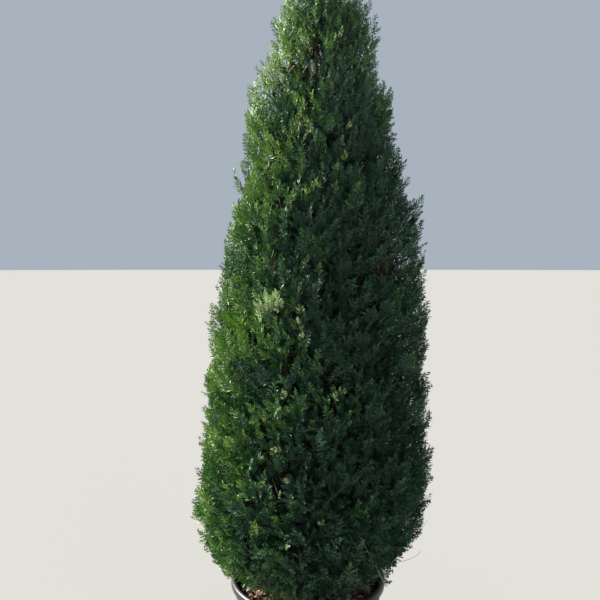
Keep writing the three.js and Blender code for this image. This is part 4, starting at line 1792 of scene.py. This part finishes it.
@dataclass
class Pot:
    """A round moulded nursery pot: tapered wall, rolled lip, two beads under it, and drain holes low down."""

    foot_radius: float = 0.215
    mouth_radius: float = 0.262
    wall: float = 0.004
    underside_share: float = 0.55
    foot_flat: float = 0.011
    foot_round: float = 0.006
    foot_bulge: float = 0.0055
    foot_height: float = 0.012
    step_height: float = 0.052
    step: float = 0.0025
    step_round: float = 0.006
    plain_foot: float = 0.07
    bead: Pair = (0.0022, 0.0032)
    bead_heights: tuple[float, ...] = (0.338, 0.352)
    bead_gap: float = 0.006
    lip_depth: float = 0.026
    lip_under: Pair = (0.45, 0.004)
    lip_flat: float = 0.013
    lip_round: float = 0.009
    mouth_round: Pair = (0.006, 0.008)
    mouth_depth: float = 0.03
    sides: int = 180
    drain_holes: int = 6
    drain_radius: float = 0.016
    drain_height: float = 0.026
    drain_reach: float = 0.02
    drain_sides: int = 24

    def __post_init__(self) -> None:
        """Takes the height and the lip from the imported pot."""
        low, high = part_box("pot")
        self.height = high.z - low.z
        self.lip_radius = high.x

    def wall_radius(self, z: float) -> float:
        """The outer wall's radius at a height."""
        return mix(self.foot_radius, self.mouth_radius, z / self.height)

    @staticmethod
    def arc(centre: Pair, size: Pair, start: float, end: float, steps: int) -> list[Pair]:
        """Points on a stretch of an ellipse, in radius and height."""
        angles = np.radians(np.linspace(start, end, steps + 1))
        return [(centre[0] + size[0] * math.cos(t), centre[1] + size[1] * math.sin(t)) for t in angles]

    def run(self, low: float, high: float, steps: int, inward: float = 0.0) -> list[Pair]:
        """Points up or down the wall, some way inward from its outer face."""
        return [(self.wall_radius(z) - inward, z) for z in np.linspace(low, high, steps)]

    def profile(self) -> list[Pair]:
        """Draws the pot's section from the middle of its underside, over the lip and down inside.

        Returns:
            The points of the section, each its radius and height.
        """
        under_lip = self.height - self.lip_depth
        foot, reach = self.foot_radius, self.lip_radius - self.wall_radius(under_lip)
        points = [(0.0, 0.0), (foot * self.underside_share, 0.0), (foot - self.foot_flat, 0.0)]
        corner = (foot - self.foot_round, self.foot_round)
        points += self.arc(corner, (self.foot_bulge, self.foot_round), -90, 0, steps=5)
        points += self.run(self.foot_height, self.step_height - self.step_round, steps=4, inward=self.step)
        points += self.run(self.step_height, self.step_height, steps=1)
        points += self.run(self.plain_foot, self.bead_heights[0] - self.bead_gap, steps=9)
        for z in self.bead_heights:
            points += self.arc((self.wall_radius(z), z), self.bead, -90, 90, steps=6)
        points += self.run(under_lip, under_lip, steps=1)
        share, rise = self.lip_under
        corner = (self.lip_radius - reach * share, under_lip + rise)
        points += self.arc(corner, (reach * share, rise), -90, 0, steps=5)
        points.append((self.lip_radius, self.height - self.lip_flat))
        corner = (self.lip_radius - self.lip_round, self.height - self.lip_round)
        points += self.arc(corner, (self.lip_round, self.lip_round), 0, 90, steps=8)
        wide, deep = self.mouth_round
        corner = (self.mouth_radius - self.wall + wide, self.height - deep)
        points += self.arc(corner, (wide, deep), 90, 180, steps=6)
        points += self.run(self.height - self.mouth_depth, self.wall, steps=6, inward=self.wall)
        return [*points, (0.0, self.wall)]

    def build(self) -> None:
        """Turns the section, drills the drain holes and dresses the pot."""
        section = np.array(self.profile())
        rim = section[1:-1]
        points = polar(rim[:, :1], turns(self.sides)[None], rim[:, 1:]).reshape(-1, 3)
        ends = section[[0, -1], 1:] * UP
        heap = Heap()
        faces = [grid_faces(len(rim), self.sides), *end_fans(len(rim), self.sides)]
        heap.add(np.concatenate([points, ends]), faces)
        piece = heap.build("pot_shell", [PlasticFinish()], "pot", smooth=True)
        self.drill(piece)
        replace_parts(piece, "pot")

    def drill(self, piece: bpy.types.Object) -> None:
        """Cuts the drain holes through the wall.

        Args:
            piece: The pot.
        """
        cutters = Heap()
        for hole in range(self.drain_holes):
            turn = 2 * math.pi * (hole + 0.5) / self.drain_holes
            outward = np.array([math.cos(turn), math.sin(turn), 0.0])
            middle = outward * self.foot_radius + self.drain_height * UP
            path = np.stack([middle - outward * self.drain_reach, middle + outward * self.drain_reach])
            cutters.add(*tube(path, np.full(2, self.drain_radius), self.drain_sides))
        cutter = cutters.build("drain_cutter", [PlasticFinish()], "pot")
        modifier = piece.modifiers.new("drain_holes", "BOOLEAN")
        modifier.operation = "DIFFERENCE"
        modifier.solver = "EXACT"
        modifier.object = cutter
        drilled = bpy.data.meshes.new_from_object(piece.evaluated_get(bpy.context.evaluated_depsgraph_get()))
        piece.modifiers.clear()
        piece.data = drilled
        bpy.data.objects.remove(cutter)


@dataclass
class Mulch:
    """The potting mix in the pot and the torn bark and wood chips strewn over it."""

    rings: int = 40
    sides: int = 150
    side_gap: float = 0.0008
    edge_drop: float = 0.014
    foot_share: float = 0.76
    shoulder: Pair = (0.5, 0.7)
    flat_radius: float = 0.07
    roughness: float = 0.004
    crumb_noise: int = 60
    crumb_cells: Pair = (90.0, 240.0)
    fine_crumbs: float = 0.6
    crumb_middle: float = 0.9
    chips: int = 1500
    chip_seed: int = 77
    chip_length: Range = (0.010, 0.044)
    length_power: float = 1.8
    chip_width: Range = (0.22, 0.42)
    chip_thickness: Range = (0.0012, 0.0034)
    chip_lift: Range = (-0.001, 0.006)
    chip_tip: float = 0.22
    chip_roll: float = 0.25
    chip_bow: float = 1.6
    tear: float = 0.05
    rim_gap: float = 0.012
    inmost: float = 0.012
    lowest: float = 0.012
    outline: tuple[Pair, ...] = (
        (0.0, 0.0), (0.22, 0.9), (0.55, 1.0), (0.85, 0.6),
        (1.0, 0.0), (0.8, -0.7), (0.45, -1.0), (0.15, -0.8),
    )
    kind_shares: tuple[float, ...] = (0.28, 0.20, 0.14, 0.07, 0.13, 0.18)

    def __post_init__(self) -> None:
        """Takes the filling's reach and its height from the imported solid."""
        low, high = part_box("soil")
        self.radius = high.x - self.side_gap
        self.floor = low.z
        self.top = high.z
        self.edge = high.z - self.edge_drop

    def surface(self, radius: Number) -> Number:
        """Works out the mound's height.

        Args:
            radius: The distance from the pot's axis.

        Returns:
            The height there.
        """
        out, up = self.shoulder
        radii = [0.0, self.flat_radius, mix(self.radius, self.flat_radius, out), self.radius]
        heights = [self.top, self.top, mix(self.edge, self.top, up), self.edge]
        return np.interp(radius, radii, heights)

    def bed(self) -> None:
        """Builds the potting mix with its uneven top."""
        turn = turns(self.sides)
        radius = self.radius * (np.arange(1, self.rings + 1) / self.rings)
        top = polar(radius[:, None], turn[None], self.surface(radius)[:, None]).reshape(-1, 3)
        broad = value_noise(top * self.crumb_cells[0], self.crumb_noise)
        fine = value_noise(top * self.crumb_cells[1], self.crumb_noise + 1)
        top[:, 2] += self.roughness * (broad + self.fine_crumbs * fine - self.crumb_middle)
        foot = polar(-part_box("pot")[0].x * self.foot_share, turn, self.floor)
        upward = top[::-1].reshape(self.rings, self.sides, 3)[:, ::-1].reshape(-1, 3)
        ends = np.array([self.floor, self.top - self.roughness])[:, None] * UP
        faces = [grid_faces(self.rings + 1, self.sides), *end_fans(self.rings + 1, self.sides)]
        heap = Heap()
        heap.add(np.concatenate([foot, upward, ends]), faces)
        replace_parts(heap.build("potting_mix", [MulchFinish()], "soil", smooth=True), "soil")

    def chip(self, rng: np.random.Generator) -> np.ndarray:
        """Tears one chip.

        Args:
            rng: The mulch's own random numbers.

        Returns:
            The points round its underside, round its top, and in the middle of each.
        """
        ring = np.array(self.outline)
        length = mix(*self.chip_length, rng.random() ** self.length_power)
        width = length * rng.uniform(*self.chip_width)
        thick = rng.uniform(*self.chip_thickness)
        out = (self.radius - self.rim_gap) * math.sqrt(rng.uniform(self.inmost, 1.0))
        azimuth = rng.uniform(0, 2 * math.pi)
        middle = polar(out, azimuth, float(self.surface(out)) + rng.uniform(*self.chip_lift))
        turn, tip = rng.uniform(0, 2 * math.pi), rng.normal(0, self.chip_tip)
        along = polar(math.cos(tip), turn, math.sin(tip))
        across = unit(np.cross(UP, along)) + rng.normal(0, self.chip_roll) * UP
        up = np.cross(along, unit(across))
        flat = (ring + rng.normal(0, self.tear, ring.shape)) * np.array([length, width / 2])
        bow = rng.normal(0, self.chip_bow) * (flat[:, 0] - length / 2) ** 2
        body = (flat[:, :1] - length / 2) * along + flat[:, 1:] * across
        layers = [body + (bow + lift)[:, None] * up for lift in (-thick / 2, thick / 2)]
        centres = np.stack([layer.mean(axis=0) for layer in layers])
        points = middle + np.concatenate([*layers, centres])
        points[:, 2] = np.maximum(points[:, 2], self.edge - self.lowest)
        return points

    def strew(self) -> None:
        """Strews chips over the bed, each a torn, bent, tapering sliver, and joins them into one piece."""
        rng = np.random.default_rng([SEED, self.chip_seed])
        heap = Heap()
        corners = len(self.outline)
        faces = [part[:, ::-1] for part in (grid_faces(2, corners), *end_fans(2, corners))]
        for _ in range(self.chips):
            points = self.chip(rng)
            heap.add(points, faces, int(rng.choice(len(Chip), p=self.kind_shares)))
        heap.build("mulch_chips", [chip.value for chip in Chip], "soil")

    def build(self) -> None:
        """Builds the bed and its chips."""
        self.bed()
        self.strew()


class LampKind(Enum):
    """The kinds of lamp, each with the setting that softens its shadows."""

    SUN = "angle"
    AREA = "size"


@dataclass(frozen=True)
class Lamp:
    """One lamp: its kind, place, colour, power and softness."""

    name: str
    kind: LampKind
    place: Triple
    colour: Colour
    power: float
    softness: float

    def hang(self, aim: Vector) -> None:
        """Hangs the lamp.

        Args:
            aim: The point that it faces.
        """
        data = bpy.data.lights.new(self.name, self.kind.name)
        data.energy = self.power
        data.color = self.colour
        setattr(data, self.kind.value, self.softness)
        lamp = placed(self.name, data)
        lamp.location = self.place
        lamp.rotation_euler = (aim - Vector(self.place)).to_track_quat("-Z", "Y").to_euler()


@dataclass
class Studio:
    """The plain floor, the soft lights and the camera."""

    eye: Triple = (-0.028, -2.2, 1.5)
    pitch: float = -3.18
    focal_pixels: float = 630.0
    frame_pixels: float = 600.0
    sensor: float = 36.0
    aim: Triple = (0.0, 0.0, 1.5)
    lamps: tuple[Lamp, ...] = (
        Lamp("key", LampKind.SUN, (-8.5, 2.5, 6.6), (1.0, 0.96, 0.88), 16.0, 0.30),
        Lamp("fill", LampKind.AREA, (2.6, -4.4, 2.8), (0.86, 0.93, 1.0), 30.0, 2.6),
    )
    backdrop: Colour = (0.58, 0.66, 0.76)
    backdrop_strength: float = 0.68
    floor_finish: PlainFinish = PlainFinish("pale_floor", (0.26, 0.26, 0.255), 1.0, 0.0)
    floor_radius: float = 200.0
    floor_sides: int = 96

    def floor(self) -> None:
        """Lays the floor."""
        count = self.floor_sides
        points = np.concatenate([polar(self.floor_radius, turns(count), 0.0), np.zeros((1, 3))])
        mesh = bpy.data.meshes.new("floor")
        mesh.from_pydata(points.tolist(), [], fan_faces(np.arange(count), count).tolist())
        mesh.materials.append(made_material(self.floor_finish))
        placed("floor", mesh)

    def light(self) -> None:
        """Lights the plant: a strong soft key from the left, a weak fill and a pale surround."""
        for lamp in self.lamps:
            lamp.hang(Vector(self.aim))
        world = bpy.data.worlds.new("studio")
        world.use_nodes = True
        background = world.node_tree.nodes["Background"]
        background.inputs["Color"].default_value = (*self.backdrop, 1.0)
        background.inputs["Strength"].default_value = self.backdrop_strength
        bpy.context.scene.world = world

    def camera(self) -> None:
        """Sets the camera at the photograph's eye height, distance and angle of view."""
        data = bpy.data.cameras.new("camera")
        data.sensor_width = self.sensor
        data.lens = data.sensor_width * self.focal_pixels / self.frame_pixels
        camera = placed("camera", data)
        camera.location = self.eye
        camera.rotation_euler = (math.radians(90 + self.pitch), 0.0, 0.0)
        bpy.context.scene.camera = camera

    def build(self) -> None:
        """Builds the studio."""
        bpy.context.scene.view_settings.view_transform = "Standard"
        self.floor()
        self.light()
        self.camera()


def write_sizes() -> None:
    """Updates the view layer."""
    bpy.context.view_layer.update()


def main() -> None:
    """Builds every sub-assembly in order."""
    logging.basicConfig(level=logging.INFO, format="%(name)s: %(message)s")
    crown = CrownOutline()
    for assembly in (Studio(), Pot(), Mulch(), Wood(crown), Foliage(crown)):
        assembly.build()
    write_sizes()


if __name__ == "__main__":
    main()
